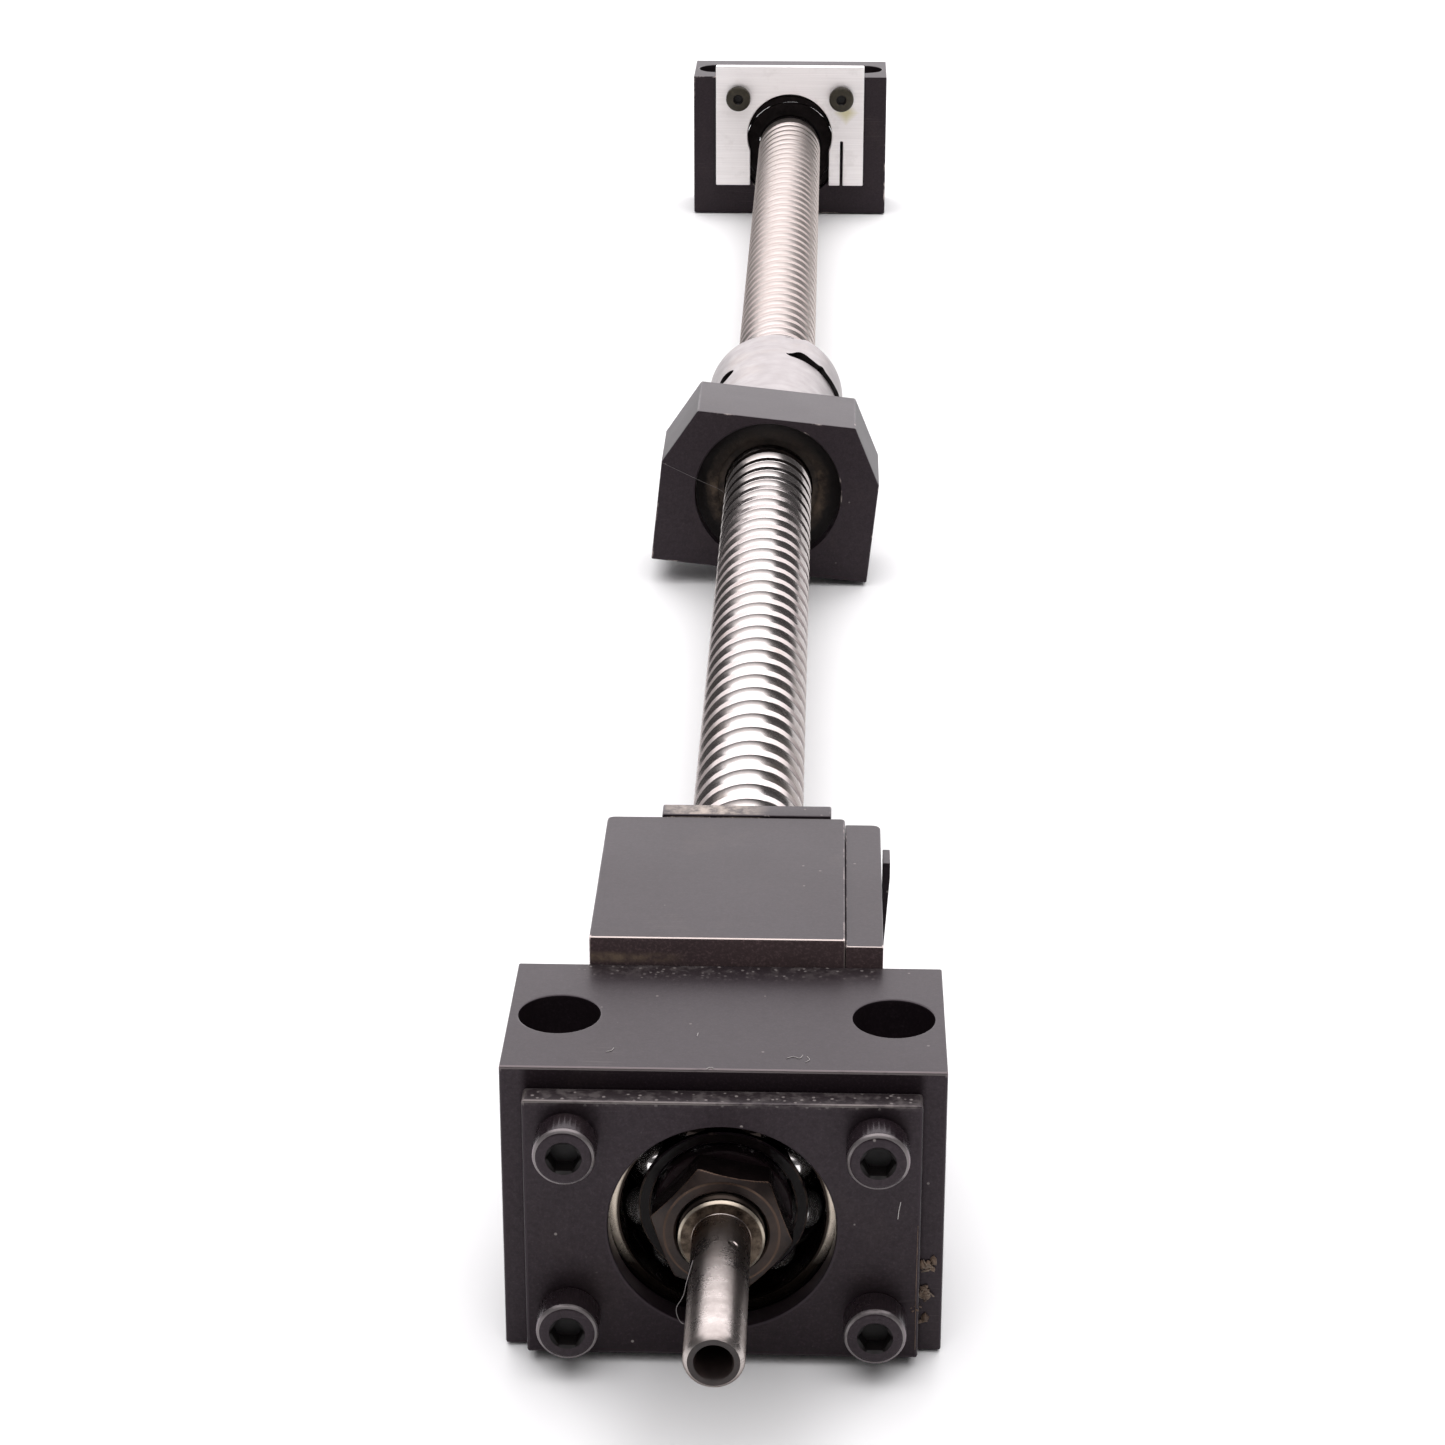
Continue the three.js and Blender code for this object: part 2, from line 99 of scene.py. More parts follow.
class Tree:
    """Builds the nodes of a material or the world: each method adds one and returns its output."""

    def __init__(self, name, world=False):
        self.owner = (bpy.data.worlds if world else bpy.data.materials).new(name)
        self.owner.use_nodes = True
        self.tree = self.owner.node_tree
        self.shader = self.tree.nodes["Background" if world else "Principled BSDF"]
        self.place = self.add("ShaderNodeTexCoord", {}).outputs["Generated" if world else "Object"]

    def add(self, kind, inputs, **settings):
        """A node with some settings, and with inputs filled in by name or by number."""
        node = self.tree.nodes.new(kind)
        for key, value in settings.items():
            setattr(node, key, value)
        for key, value in inputs.items():
            self.put(node.inputs[key], value)
        return node

    def put(self, socket, value):
        if isinstance(value, bpy.types.NodeSocket):
            self.tree.links.new(value, socket)
        else:
            socket.default_value = value

    def finished(self, **inputs):
        """Fills in the shader's inputs and returns the material or the world."""
        for key, value in inputs.items():
            self.put(self.shader.inputs[key.replace("_", " ")], value)
        return self.owner

    def stretched(self, x, y, z, turn=(0, 0, 0)):
        inputs = {"Vector": self.place, "Scale": (x, y, z), "Rotation": turn}
        return self.add("ShaderNodeMapping", inputs).outputs["Vector"]

    def noise(self, scale, detail=4.0, roughness=0.55, where=None):
        inputs = {"Vector": where or self.place, "Scale": scale, "Detail": detail, "Roughness": roughness}
        return self.add("ShaderNodeTexNoise", inputs).outputs["Fac"]

    def lines(self, x, y, z, detail=5.0):
        """Noise drawn out into lines across the axis with the largest number."""
        return self.noise(1.0, detail, 0.7, self.stretched(x, y, z))

    def cells(self, scale, where=None, feature="F1"):
        inputs = {"Vector": where or self.place, "Scale": scale}
        return self.add("ShaderNodeTexVoronoi", inputs, feature=feature).outputs

    def ranged(self, value, low, high, to_low=0.0, to_high=1.0):
        inputs = {"Value": value, "From Min": low, "From Max": high, "To Min": to_low, "To Max": to_high}
        return self.add("ShaderNodeMapRange", inputs, clamp=True).outputs["Result"]

    def maths(self, operation, a, b=0.0):
        return self.add("ShaderNodeMath", {0: a, 1: b}, operation=operation).outputs[0]

    def plus(self, a, b):
        return self.maths("ADD", a, b)

    def minus(self, a, b):
        return self.maths("SUBTRACT", a, b)

    def times(self, a, b):
        return self.maths("MULTIPLY", a, b)

    def most(self, a, b):
        return self.maths("MAXIMUM", a, b)

    def absolute(self, a):
        return self.maths("ABSOLUTE", a)

    def mixed(self, amount, a, b):
        a, b = ((*colour, 1.0) if isinstance(colour, tuple) else colour for colour in (a, b))
        return self.add("ShaderNodeMix", {0: amount, 6: a, 7: b}, data_type="RGBA").outputs[2]

    def split(self, vector=None):
        return self.add("ShaderNodeSeparateXYZ", {0: vector or self.place}).outputs

    def past(self, limits):
        """1 past every limit, each (axis, from, to) in millimetres. X counts from the middle plane."""
        amount = 1.0
        for axis, start, end in limits:
            value = self.split()["XYZ".index(axis)]
            if axis == "X":
                value = self.absolute(value)
            amount = self.times(self.ranged(value, start * MM, end * MM), amount)
        return amount

    def inside(self, low, high, rough_edge):
        """1 inside a box given by two corners in the frame, in millimetres, with a ragged edge."""
        amount = self.ranged(rough_edge, 0.36, 0.58)
        for socket, a, b in zip(self.split(), low, high):
            soft = (b - a) * 0.35
            amount = self.times(amount, self.ranged(socket, a * MM, (a + soft) * MM))
            amount = self.times(amount, self.ranged(socket, b * MM, (b - soft) * MM))
        return amount

    def from_axis(self):
        """Distance from the screw's axis, in metres."""
        x, _, z = self.split()
        across = self.times(x, x)
        up = self.minus(z, AXIS * MM)
        return self.maths("SQRT", self.plus(across, self.times(up, up)))

    def from_point(self, point):
        """Distance from a point in the frame, given in millimetres."""
        inputs = {0: self.place, 1: [c * MM for c in point]}
        return self.add("ShaderNodeVectorMath", inputs, operation="DISTANCE").outputs["Value"]

    def bumped(self, height, distance, strength, normal=None):
        inputs = {"Height": height, "Distance": distance, "Strength": strength}
        if normal is not None:
            inputs["Normal"] = normal
        return self.add("ShaderNodeBump", inputs).outputs["Normal"]

    def scratches(self, turn, thin=0.02):
        """Thin, broken lines along one direction."""
        edges = self.cells(1.0, self.stretched(14, 620, 620, turn), "DISTANCE_TO_EDGE")["Distance"]
        broken = self.noise(45, 3.0)
        line = self.ranged(edges, 0.0, thin, 1.0, 0.0)
        return self.times(line, self.ranged(broken, 0.6, 0.68))

    def specks(self, scale, size, share):
        """Small round flecks, on the given share of the cells."""
        cells = self.cells(scale)
        red, _, _ = self.split(cells["Color"])
        chosen = self.maths("LESS_THAN", red, share)
        return self.times(self.ranged(cells["Distance"], size * 0.6, size, 1.0, 0.0), chosen)


# Materials

OXIDE = (0.011, 0.0075, 0.0095)
OXIDE_BROWN = (0.014, 0.0105, 0.0115)
OXIDE_IOR = 1.4
OXIDE_TINT = (1.0, 0.86, 0.95)
DUST = (0.23, 0.21, 0.20)
BARE = (0.55, 0.50, 0.47)
TAN = (0.20, 0.15, 0.105)
DRIED = (0.42, 0.36, 0.30)


def black_oxide(name, dust=0.25, stain=0.3, shine=0.4, settles=(), painted_shade_limits=(), smear=None,
                shades=(OXIDE, OXIDE_BROWN)):
    """Blackened steel: faint mottling, a fine satin grain, lint, flecks and some dried oil. Dust settles
    past some limits, the reflection is dimmed past others as painted shade, and a smear lies in a box:
    two corners and a colour."""
    t = Tree(name)
    broad = t.noise(38, 5.0, 0.6)
    grain = t.noise(2600, 3.0, 0.75)
    colour = t.mixed(t.ranged(broad, 0.35, 0.7), *shades)
    colour = t.mixed(t.ranged(grain, 0.5, 0.75, 0.0, 0.6), colour, tuple(c * 3 for c in shades[0]))
    film = t.ranged(t.noise(90, 6.0, 0.65), 0.56, 0.8, 0.0, stain)
    colour = t.mixed(film, colour, (0.036, 0.027, 0.023))
    if smear:
        low, high, smeared = smear
        colour = t.mixed(t.inside(low, high, t.noise(300, 5.0, 0.7)), colour, smeared)
    rubbed = t.times(t.scratches((0.3, 0.2, 0.9)), 0.04)
    colour = t.mixed(rubbed, colour, BARE)
    powder = t.ranged(t.noise(1400, 5.0, 0.75), 0.64, 0.85, 0.0, dust * 0.6)
    lint = t.times(t.specks(400, 0.1, 0.16), min(1.0, dust * 2.4))
    dirt = t.most(powder, lint)
    if settles:
        clumps = t.ranged(t.noise(640, 4.0, 0.6), 0.48, 0.62, 0.04, 0.24)
        clumps = t.most(clumps, t.times(t.specks(1250, 0.36, 0.42), 0.75))
        dirt = t.most(dirt, t.times(t.past(settles), clumps))
    colour = t.mixed(dirt, colour, DUST)
    rough = t.plus(t.ranged(broad, 0.3, 0.75, shine - 0.03, shine + 0.03), t.times(dirt, 0.4))
    normal = t.bumped(grain, 0.000016, 0.45)
    normal = t.bumped(t.noise(260, 3.0), 0.00004, 0.2, normal)
    sheen = t.ranged(t.noise(1500, 2.0, 0.8), 0.3, 0.7, 0.7, 1.0)
    # painted shade: past these limits the reflection's tint is dimmed
    if painted_shade_limits:
        sheen = t.times(sheen, t.ranged(t.past(painted_shade_limits), 0.0, 1.0, 1.0, 0.1))
    return t.finished(
        Base_Color=colour, Roughness=rough, Normal=normal, IOR=OXIDE_IOR,
        Specular_Tint=t.mixed(sheen, (0.0, 0.0, 0.0), OXIDE_TINT),
    )


def worn_edge(name, bare, limits=(), metal=(0.52, 0.46, 0.43), seam=()):
    """The deburred edge of a blackened block: bare metal shows along it in broken runs, only past the
    limits if there are any, and faintly past the seam's limits."""
    t = Tree(name)
    runs = t.noise(120, 5.0, 0.7)
    worn = t.ranged(runs, 0.62 - 0.42 * bare, 0.72 - 0.3 * bare)
    if limits:
        worn = t.times(worn, t.past(limits))
    if seam:
        chips = t.ranged(t.noise(420, 5.0, 0.7), 0.5, 0.62, 0.0, 0.35)
        worn = t.most(worn, t.times(chips, t.past(seam)))
    return t.finished(
        Base_Color=t.mixed(worn, OXIDE, metal),
        Metallic=t.times(worn, 0.75),
        Roughness=t.ranged(runs, 0.3, 0.8, 0.28, 0.5),
        Normal=t.bumped(t.noise(1500, 4.0), 0.00002, 0.4),
        IOR=OXIDE_IOR,
        Specular_Tint=(*OXIDE_TINT, 1.0),
    )


def screw_steel():
    """Ground thread: bright lands and grooves, and brown grease in the grooves near the front, heavier at
    the left and right sides as painted shade. Painted shade darkens the groove flanks and the underside,
    and a warm haze of dried oil lies behind the nut."""
    t = Tree("screw_steel")
    x, y, z = t.split()
    depth = t.ranged(t.from_axis(), 0.0082, 0.0096, 1.0, 0.0)
    patches = t.ranged(t.noise(75, 6.0, 0.7), 0.44, 0.56)
    near = t.ranged(y, 0.06, 0.24, 1.0, 0.25)
    # painted shade: the groove grease is heavier at the left and right sides than at the top and bottom,
    # so this dirt mask is grease and painted shade
    aside = t.ranged(t.absolute(x), 0.0015, 0.0045, 0.2, 1.0)
    dirt = t.times(t.times(depth, patches), t.times(near, aside))
    colour = t.mixed(t.noise(420, 4.0), (0.70, 0.66, 0.645), (0.82, 0.785, 0.77))
    colour = t.mixed(dirt, colour, (0.15, 0.10, 0.065))
    film = t.ranged(t.noise(130, 5.0, 0.7), 0.56, 0.8, 0.0, 0.35)
    colour = t.mixed(film, colour, (0.44, 0.36, 0.29))
    outer = radius_of("screw_shaft") * MM
    # painted shade: dark lines along the groove flanks beside the lands, fainter behind the nut
    inner_side = t.ranged(t.from_axis(), outer - 0.0011, outer - 0.0007)
    outer_side = t.ranged(t.from_axis(), outer - 0.00012, outer - 0.00004, 1.0, 0.0)
    flank = t.times(inner_side, outer_side)
    painted_flank_shade = t.times(flank, t.ranged(y, 0.33, 0.42, 0.5, 0.1))
    colour = t.mixed(painted_flank_shade, colour, (0.16, 0.135, 0.125))
    # painted shade: the underside, below the axis, is darker
    under = t.ranged(z, (AXIS - 1) * MM, (AXIS + 3) * MM, 0.6, 0.0)
    colour = t.mixed(under, colour, (0.26, 0.225, 0.205))
    hazed = t.ranged(y, 0.34, 0.42)
    colour = t.mixed(t.times(hazed, 0.55), colour, (0.62, 0.545, 0.50))
    grinding = t.lines(60, 5200, 60)
    rough = t.plus(t.ranged(grinding, 0.3, 0.7, 0.13, 0.22), t.times(dirt, 0.3))
    rough = t.plus(rough, t.times(hazed, 0.2))
    return t.finished(
        Base_Color=colour, Metallic=1.0, Roughness=rough,
        Normal=t.bumped(grinding, 0.000004, 0.2), Specular_Tint=(0.27, 0.24, 0.24, 1.0),
    )


DENT = (1.8, -29.5, AXIS + 3.57)  # a small dent in the drive end, near its shoulder


def journal_steel():
    """Turned and handled: the drive end, its shoulder and the ends of the shaft."""
    t = Tree("journal_steel")
    _, y, _ = t.split()
    turned_lines = t.lines(90, 7000, 90, 4.0)
    handled = t.noise(240, 6.0, 0.7)
    colour = t.mixed(t.ranged(handled, 0.35, 0.7), (0.50, 0.46, 0.44), (0.31, 0.275, 0.26))
    root = t.times(t.ranged(y, -0.036, -0.021), t.ranged(t.noise(160, 4.0), 0.35, 0.65))
    colour = t.mixed(t.times(root, 0.9), colour, (0.22, 0.155, 0.105))
    nicks = t.scratches((0.1, 0.9, 1.35), 0.03)
    colour = t.mixed(t.times(nicks, 0.6), colour, (0.12, 0.10, 0.09))
    rough = t.ranged(handled, 0.3, 0.75, 0.22, 0.38)
    normal = t.bumped(turned_lines, 0.00005, 0.6)
    normal = t.bumped(nicks, -0.00005, 0.6, normal)
    dent = t.ranged(t.from_point(DENT), 0.00035, 0.00075)
    normal = t.bumped(dent, 0.0004, 1.0, normal)
    return t.finished(
        Base_Color=colour, Metallic=1.0, Roughness=rough, Normal=normal,
        Specular_Tint=(0.16, 0.135, 0.135, 1.0),
    )


def satin_steel(name, light, dark, rough, oil, painted_shade_above=None):
    """Ground all round: fine lines round the axis, a thin film of oil in places, and painted shade,
    black above a height over the axis, if one is given."""
    t = Tree(name)
    lines = t.lines(50, 3800, 50)
    colour = t.mixed(t.ranged(lines, 0.3, 0.7), light, dark)
    film = t.ranged(t.noise(70, 6.0, 0.65), 0.56, 0.8, 0.0, oil)
    colour = t.mixed(film, colour, (0.36, 0.27, 0.19))
    # painted shade: black above the given height over the axis, which hides glints there
    if painted_shade_above:
        start = (AXIS + painted_shade_above) * MM
        height = t.plus(t.split()[2], t.times(t.noise(400), 0.001))
        colour = t.mixed(t.ranged(height, start, start + 0.001), colour, (0.02, 0.015, 0.013))
    return t.finished(
        Base_Color=colour, Metallic=0.92,
        Roughness=t.ranged(t.noise(300, 4.0), 0.3, 0.7, rough - 0.05, rough + 0.08),
        Normal=t.bumped(lines, 0.000012, 0.3),
    )


def shoulder_face():
    """Where the drive end meets the journal: brown and mottled, with a bright rim."""
    t = Tree("shoulder_face")
    mottle = t.noise(700, 5.0, 0.7)
    colour = t.mixed(t.ranged(mottle, 0.4, 0.62), (0.04, 0.029, 0.021), (0.125, 0.096, 0.072))
    rim = t.ranged(t.from_axis(), 0.00545, 0.0056)
    return t.finished(
        Base_Color=t.mixed(rim, colour, (0.48, 0.42, 0.34)), Metallic=0.92,
        Roughness=t.ranged(mottle, 0.3, 0.7, 0.24, 0.42), Normal=t.bumped(mottle, 0.00006, 0.5),
    )


def milled_aluminium():
    """The rear plate: straight cutter lines, dull white bloom and a yellow stain under one screw."""
    t = Tree("milled_aluminium")
    x, _, z = t.split()
    lines = t.lines(30, 30, 2400, 4.0)
    colour = t.mixed(t.ranged(lines, 0.3, 0.7), (0.96, 0.925, 0.915), (0.86, 0.825, 0.815))
    colour = t.mixed(t.ranged(t.noise(150, 5.0, 0.7), 0.55, 0.8, 0.0, 0.3), colour, (0.5, 0.46, 0.43))
    stain_x = t.absolute(t.minus(x, 0.0175))
    stain_z = t.absolute(t.minus(z, 0.0325))
    near = t.ranged(t.plus(stain_x, stain_z), 0.001, 0.0042, 0.6, 0.0)
    colour = t.mixed(near, colour, (0.56, 0.50, 0.14))
    return t.finished(
        Base_Color=colour, Metallic=0.6, Roughness=t.ranged(lines, 0.3, 0.7, 0.38, 0.5),
        Normal=t.bumped(lines, 0.00002, 0.3),
    )


def oily_black_and_shade(name, colour, rough, sheen, metallic=0.0, uneven=1.0):
    """A cage, seal or screw head: dark, wet with oil, slightly uneven. Also painted shade in sockets,
    pockets, the drive end's centre hole and the front bearings' inner races.
    """
    t = Tree(name)
    mottle = t.noise(500, 5.0, 0.65)
    shade = t.mixed(t.ranged(mottle, 0.4, 0.75), colour, tuple(c * 1.9 for c in colour))
    return t.finished(
        Base_Color=shade, Metallic=metallic,
        Roughness=t.ranged(t.noise(180, 4.0), 0.35, 0.7, rough - 0.08, rough + 0.14),
        Normal=t.bumped(mottle, 0.00005 * uneven, 0.45),
        Specular_IOR_Level=sheen,
    )


def ring_steel():
    """The outer ring's face: bright at the sides; painted shade darkens it at the bottom, the top and
    along its inner edge.
    """
    t = Tree("ring_steel")
    _, _, z = t.split()
    lines = t.lines(50, 3800, 50)
    colour = t.mixed(t.ranged(lines, 0.3, 0.7), (0.66, 0.59, 0.50), (0.52, 0.45, 0.37))
    # painted shade: dark at the bottom, at the top and along the inner edge, with a noisy border; the oil
    # mask below is this painted shade
    low = t.ranged(t.minus(z, AXIS * MM), -0.010, -0.002, 1.0, 0.0)
    high = t.ranged(t.minus(z, AXIS * MM), 0.008, 0.0115)
    inner = t.ranged(t.from_axis(), 0.0142, 0.0147, 1.0, 0.0)
    oil = t.most(t.most(low, high), inner)
    oil = t.ranged(t.plus(oil, t.times(t.noise(160, 5.0, 0.7), 0.5)), 0.35, 0.95)
    return t.finished(
        Base_Color=t.mixed(oil, colour, (0.02, 0.014, 0.011)), Metallic=0.9,
        Roughness=t.ranged(t.noise(300, 4.0), 0.3, 0.7, 0.18, 0.32),
        Normal=t.bumped(lines, 0.000012, 0.3),
    )


def browned_steel():
    """The lock nut: dark oiled steel, brown where it has rubbed."""
    t = Tree("browned_steel")
    patches = t.noise(150, 6.0, 0.65)
    colour = t.mixed(t.ranged(patches, 0.42, 0.66), (0.016, 0.011, 0.010), (0.042, 0.027, 0.021))
    colour = t.mixed(t.times(t.scratches((0.4, 0.3, 0.2), 0.03), 0.3), colour, BARE)
    return t.finished(
        Base_Color=colour, Metallic=0.3, Roughness=t.ranged(patches, 0.3, 0.7, 0.26, 0.42),
        Normal=t.bumped(t.noise(1400, 4.0), 0.00002, 0.4), Specular_IOR_Level=0.3,
    )


def grease(name, dark, light, flecks=0.6):
    """Dried grease or debris: lumpy, half shiny."""
    t = Tree(name)
    lumps = t.noise(420, 6.0, 0.7)
    colour = t.mixed(t.ranged(lumps, 0.38, 0.68), dark, light)
    colour = t.mixed(t.ranged(t.noise(900, 4.0), 0.62, 0.75, 0.0, flecks), colour, (0.34, 0.27, 0.20))
    return t.finished(
        Base_Color=colour, Roughness=t.ranged(lumps, 0.3, 0.7, 0.24, 0.6),
        Normal=t.bumped(lumps, 0.0003, 0.7), Specular_IOR_Level=0.22,
    )


def grease_with_painted_rim_shade():
    """The grease on the nut's face: black at the rim as painted shade, brown further in and tan beside
    the screw.
    """
    t = Tree("nut_face_grease_and_shade")
    lumps = t.noise(260, 6.0, 0.7)
    colour = t.mixed(t.ranged(lumps, 0.4, 0.65), (0.014, 0.010, 0.008), (0.036, 0.026, 0.02))
    beside = t.ranged(t.absolute(t.split()[0]), 0.0085, 0.0115)
    beside = t.times(beside, t.ranged(t.noise(140, 5.0, 0.7), 0.42, 0.6, 0.0, 0.85))
    colour = t.mixed(beside, colour, (0.13, 0.095, 0.068))
    # painted shade: black at the rim, deep in the bracket's bore
    rim = t.plus(t.from_axis(), t.times(lumps, 0.003))
    colour = t.mixed(t.ranged(rim, 0.0138, 0.0156), colour, (0.006, 0.0045, 0.0045))
    return t.finished(
        Base_Color=colour, Roughness=t.ranged(lumps, 0.3, 0.7, 0.35, 0.6),
        Normal=t.bumped(lumps, 0.0004, 0.7), Specular_IOR_Level=0.2,
    )


def fluff(name, dark, light):
    """Lint and hair."""
    t = Tree(name)
    return t.finished(Base_Color=t.mixed(t.noise(3000), dark, light), Roughness=0.8)


def floor_white():
    t = Tree("floor_white")
    white = t.mixed(t.noise(3, 3.0), (0.93, 0.95, 0.945), (0.95, 0.97, 0.965))
    return t.finished(Base_Color=white, Roughness=0.9)


MATERIALS = {
    "oxide": black_oxide("oxide_housing", dust=0.2, shine=0.5),
    "oxide_front": black_oxide(
        "oxide_front_housing", settles=[("X", 22, 20), ("Y", 10.5, 15.5), ("Z", 42.3, 42.8)],
        # painted shade: the front face's reflection is dimmed in the strip above the cover
        painted_shade_limits=[("X", 27.3, 26.2), ("Y", -15.3, -15.6), ("Z", 42.9, 42.5)],
    ),
    "oxide_dusty": black_oxide(
        "oxide_cover", dust=0.35, stain=0.25, shine=0.36, settles=[("Z", 39.3, 40.0)],
        # painted shade: the cover's reflection dims towards its bottom
        painted_shade_limits=[("Z", 28, -22)],
    ),
    "oxide_stop": black_oxide("oxide_stop", dust=0.3, stain=0.5, shine=0.4),
    "browned_front": black_oxide(
        "oxide_rubbed_front", dust=0.35, stain=0.4, shine=0.5,
        smear=((-24, 15, 42.9), (-6, 16.6, 44.9), TAN),
        shades=((0.072, 0.05, 0.05), (0.058, 0.042, 0.044)),
    ),
    "oxide_plate": black_oxide(
        "oxide_plate", dust=0.5, stain=0.7, smear=((-14, 55, 45.6), (5, 66, 50), DRIED),
    ),
    "oxide_bracket": black_oxide("oxide_bracket", dust=0.15, stain=0.3, shine=0.42),
    "oxide_screw": black_oxide("oxide_screw", dust=0.35, stain=0.2, shine=0.27),
    "edge": worn_edge("edge_light_wear", 0.12),
    "edge_front": worn_edge(
        "edge_front_wear", 0.85, [("Z", 42.2, 42.6), ("Y", -14.6, -15.3)], (0.12, 0.105, 0.105),
    ),
    "edge_cover": worn_edge("edge_cover_wear", 0.7, [("Z", 39.2, 39.8)], (0.15, 0.135, 0.13)),
    "edge_stop": worn_edge(
        "edge_heavy_wear", 1.3, [("Y", 17.0, 16.5)], seam=[("X", 17.5, 16.9), ("Z", 45, 46)],
    ),
    "thread": screw_steel(),
    "journal": journal_steel(),
    "ring": ring_steel(),
    # painted shade: the inner races of the front bearings, deep in the bore, are near black
    "ring_dark": oily_black_and_shade("ring_painted_shade", (0.012, 0.0075, 0.0085), 0.3, sheen=0.18),
    # painted shade: the balls are black above 10 mm over the axis
    "ball": satin_steel("ball_steel", (0.88, 0.86, 0.84), (0.82, 0.80, 0.78), 0.1, 0.0, 10.0),
    "nut": satin_steel("nut_steel", (0.35, 0.325, 0.325), (0.28, 0.26, 0.26), 0.42, 0.3),
    "aluminium": milled_aluminium(),
    "cage_edge": worn_edge("cage_edge", 0.35, metal=(0.20, 0.155, 0.13)),
    "screw_rim": worn_edge("screw_rim", 0.75, metal=(0.19, 0.175, 0.175)),
    "cage": oily_black_and_shade("cage_black", (0.005, 0.0035, 0.0035), 0.14, sheen=0.12, uneven=2.5),
    "seal": oily_black_and_shade("seal_rubber_and_shade", (0.010, 0.008, 0.008), 0.75, sheen=0.05),
    # painted shade: near black in screw sockets and in the nut's pockets
    "pit": oily_black_and_shade("recess_painted_shade", (0.006, 0.005, 0.005), 0.4, sheen=0.2),
    # painted shade: the inside of the drive end's centre hole is dark
    "bore": oily_black_and_shade("tip_bore", (0.016, 0.011, 0.010), 0.35, sheen=0.4),
    "browned": browned_steel(),
    "worn_brown": satin_steel("rubbed_brown", (0.10, 0.066, 0.05), (0.045, 0.03, 0.023), 0.3, 0.2),
    "shoulder_face": shoulder_face(),
    "shoulder": satin_steel("shoulder_steel", (0.052, 0.04, 0.033), (0.024, 0.018, 0.015), 0.34, 0.12),
    "head": oily_black_and_shade("oiled_head", (0.028, 0.024, 0.016), 0.45, sheen=0.3, metallic=0.2),
    "debris": grease("debris", (0.065, 0.042, 0.03), (0.17, 0.12, 0.085), 0.35),
    "dried": grease("dried_grease", (0.24, 0.19, 0.15), (0.46, 0.39, 0.32)),
    "wisp": grease("wisps", (0.10, 0.075, 0.056), (0.26, 0.21, 0.165), 0.3),
    "front_grease": grease_with_painted_rim_shade(),
    "lint": fluff("lint", (0.42, 0.40, 0.39), (0.62, 0.60, 0.58)),
    "hair": fluff("hair", (0.15, 0.14, 0.14), (0.24, 0.23, 0.225)),
}


# Meshes


def linked(name, data):
    """A new object in the scene."""
    obj = bpy.data.objects.new(name, data)
    bpy.context.collection.objects.link(obj)
    return obj


def coat(mesh, keys):
    """Gives a mesh its materials."""
    mesh.materials.clear()
    for key in keys:
        mesh.materials.append(MATERIALS[key])


def make(name, points, faces, *materials, smooth_up_to=28):
    """An object from points in millimetres. Edges over that many degrees are sharp."""
    mesh = bpy.data.meshes.new(name)
    mesh.from_pydata([(x * MM, (y + FRONT.y) * MM, z * MM) for x, y, z in points], [], faces)
    bm = bmesh.new()
    bm.from_mesh(mesh)
    bmesh.ops.remove_doubles(bm, verts=bm.verts, dist=1e-7)
    bmesh.ops.dissolve_degenerate(bm, edges=bm.edges, dist=1e-8)
    bmesh.ops.recalc_face_normals(bm, faces=bm.faces)
    bm.to_mesh(mesh)
    bm.free()
    coat(mesh, materials)
    shade(mesh, smooth_up_to)
    return linked(name, mesh)


def shade(mesh, smooth_up_to):
    """Smooth, but for edges that turn by more than that many degrees."""
    mesh.polygons.foreach_set("use_smooth", [True] * len(mesh.polygons))
    mesh.set_sharp_from_angle(angle=math.radians(smooth_up_to))


def reach(limit, angle):
    """A limit that is a number, or a function of the angle."""
    return limit(angle) if callable(limit) else limit


def tube_faces(rows, sides, closed=False):
    """The faces between each ring of points and the next, and from the last to the first if closed."""
    return [
        (j * sides + k, j * sides + (k + 1) % sides, (j + 1) % rows * sides + (k + 1) % sides,
         (j + 1) % rows * sides + k)
        for j in range(rows if closed else rows - 1)
        for k in range(sides)
    ]


def turned(name, profile, *materials, sides=64, closed=False, x=0.0, z=None, smooth_up_to=28):
    """A solid turned about a line along y. A radius is a number, or a function of the angle from +X.
    A closed profile is a ring's; an open one starts and ends on the axis or at a flat end."""
    middle = AXIS if z is None else z
    angles = [math.tau * k / sides for k in range(sides)]
    points = [
        (x + reach(r, a) * math.cos(a), y, middle + reach(r, a) * math.sin(a))
        for r, y in profile
        for a in angles
    ]
    rows = len(profile)
    faces = tube_faces(rows, sides, closed)
    if not closed:
        faces += [tuple(range(sides)), tuple(range((rows - 1) * sides, rows * sides))]
    return make(name, points, faces, *materials, smooth_up_to=smooth_up_to)


def ring_profile(inner, outer, y0, y1, edge):
    """A ring's section, from its inner to its outer radius, with its edges broken."""
    return [
        (inner + edge, y0), (outer - edge, y0), (outer, y0 + edge), (outer, y1 - edge),
        (outer - edge, y1), (inner + edge, y1), (inner, y1 - edge), (inner, y0 + edge),
    ]


def hexagon(flats, turn):
    """A hexagon's radius at an angle, with a flat facing the angle turn."""
    def radius(angle):
        from_flat = (angle - turn + math.pi / 6) % (math.pi / 3) - math.pi / 6
        return flats / 2 / math.cos(from_flat)
    return radius


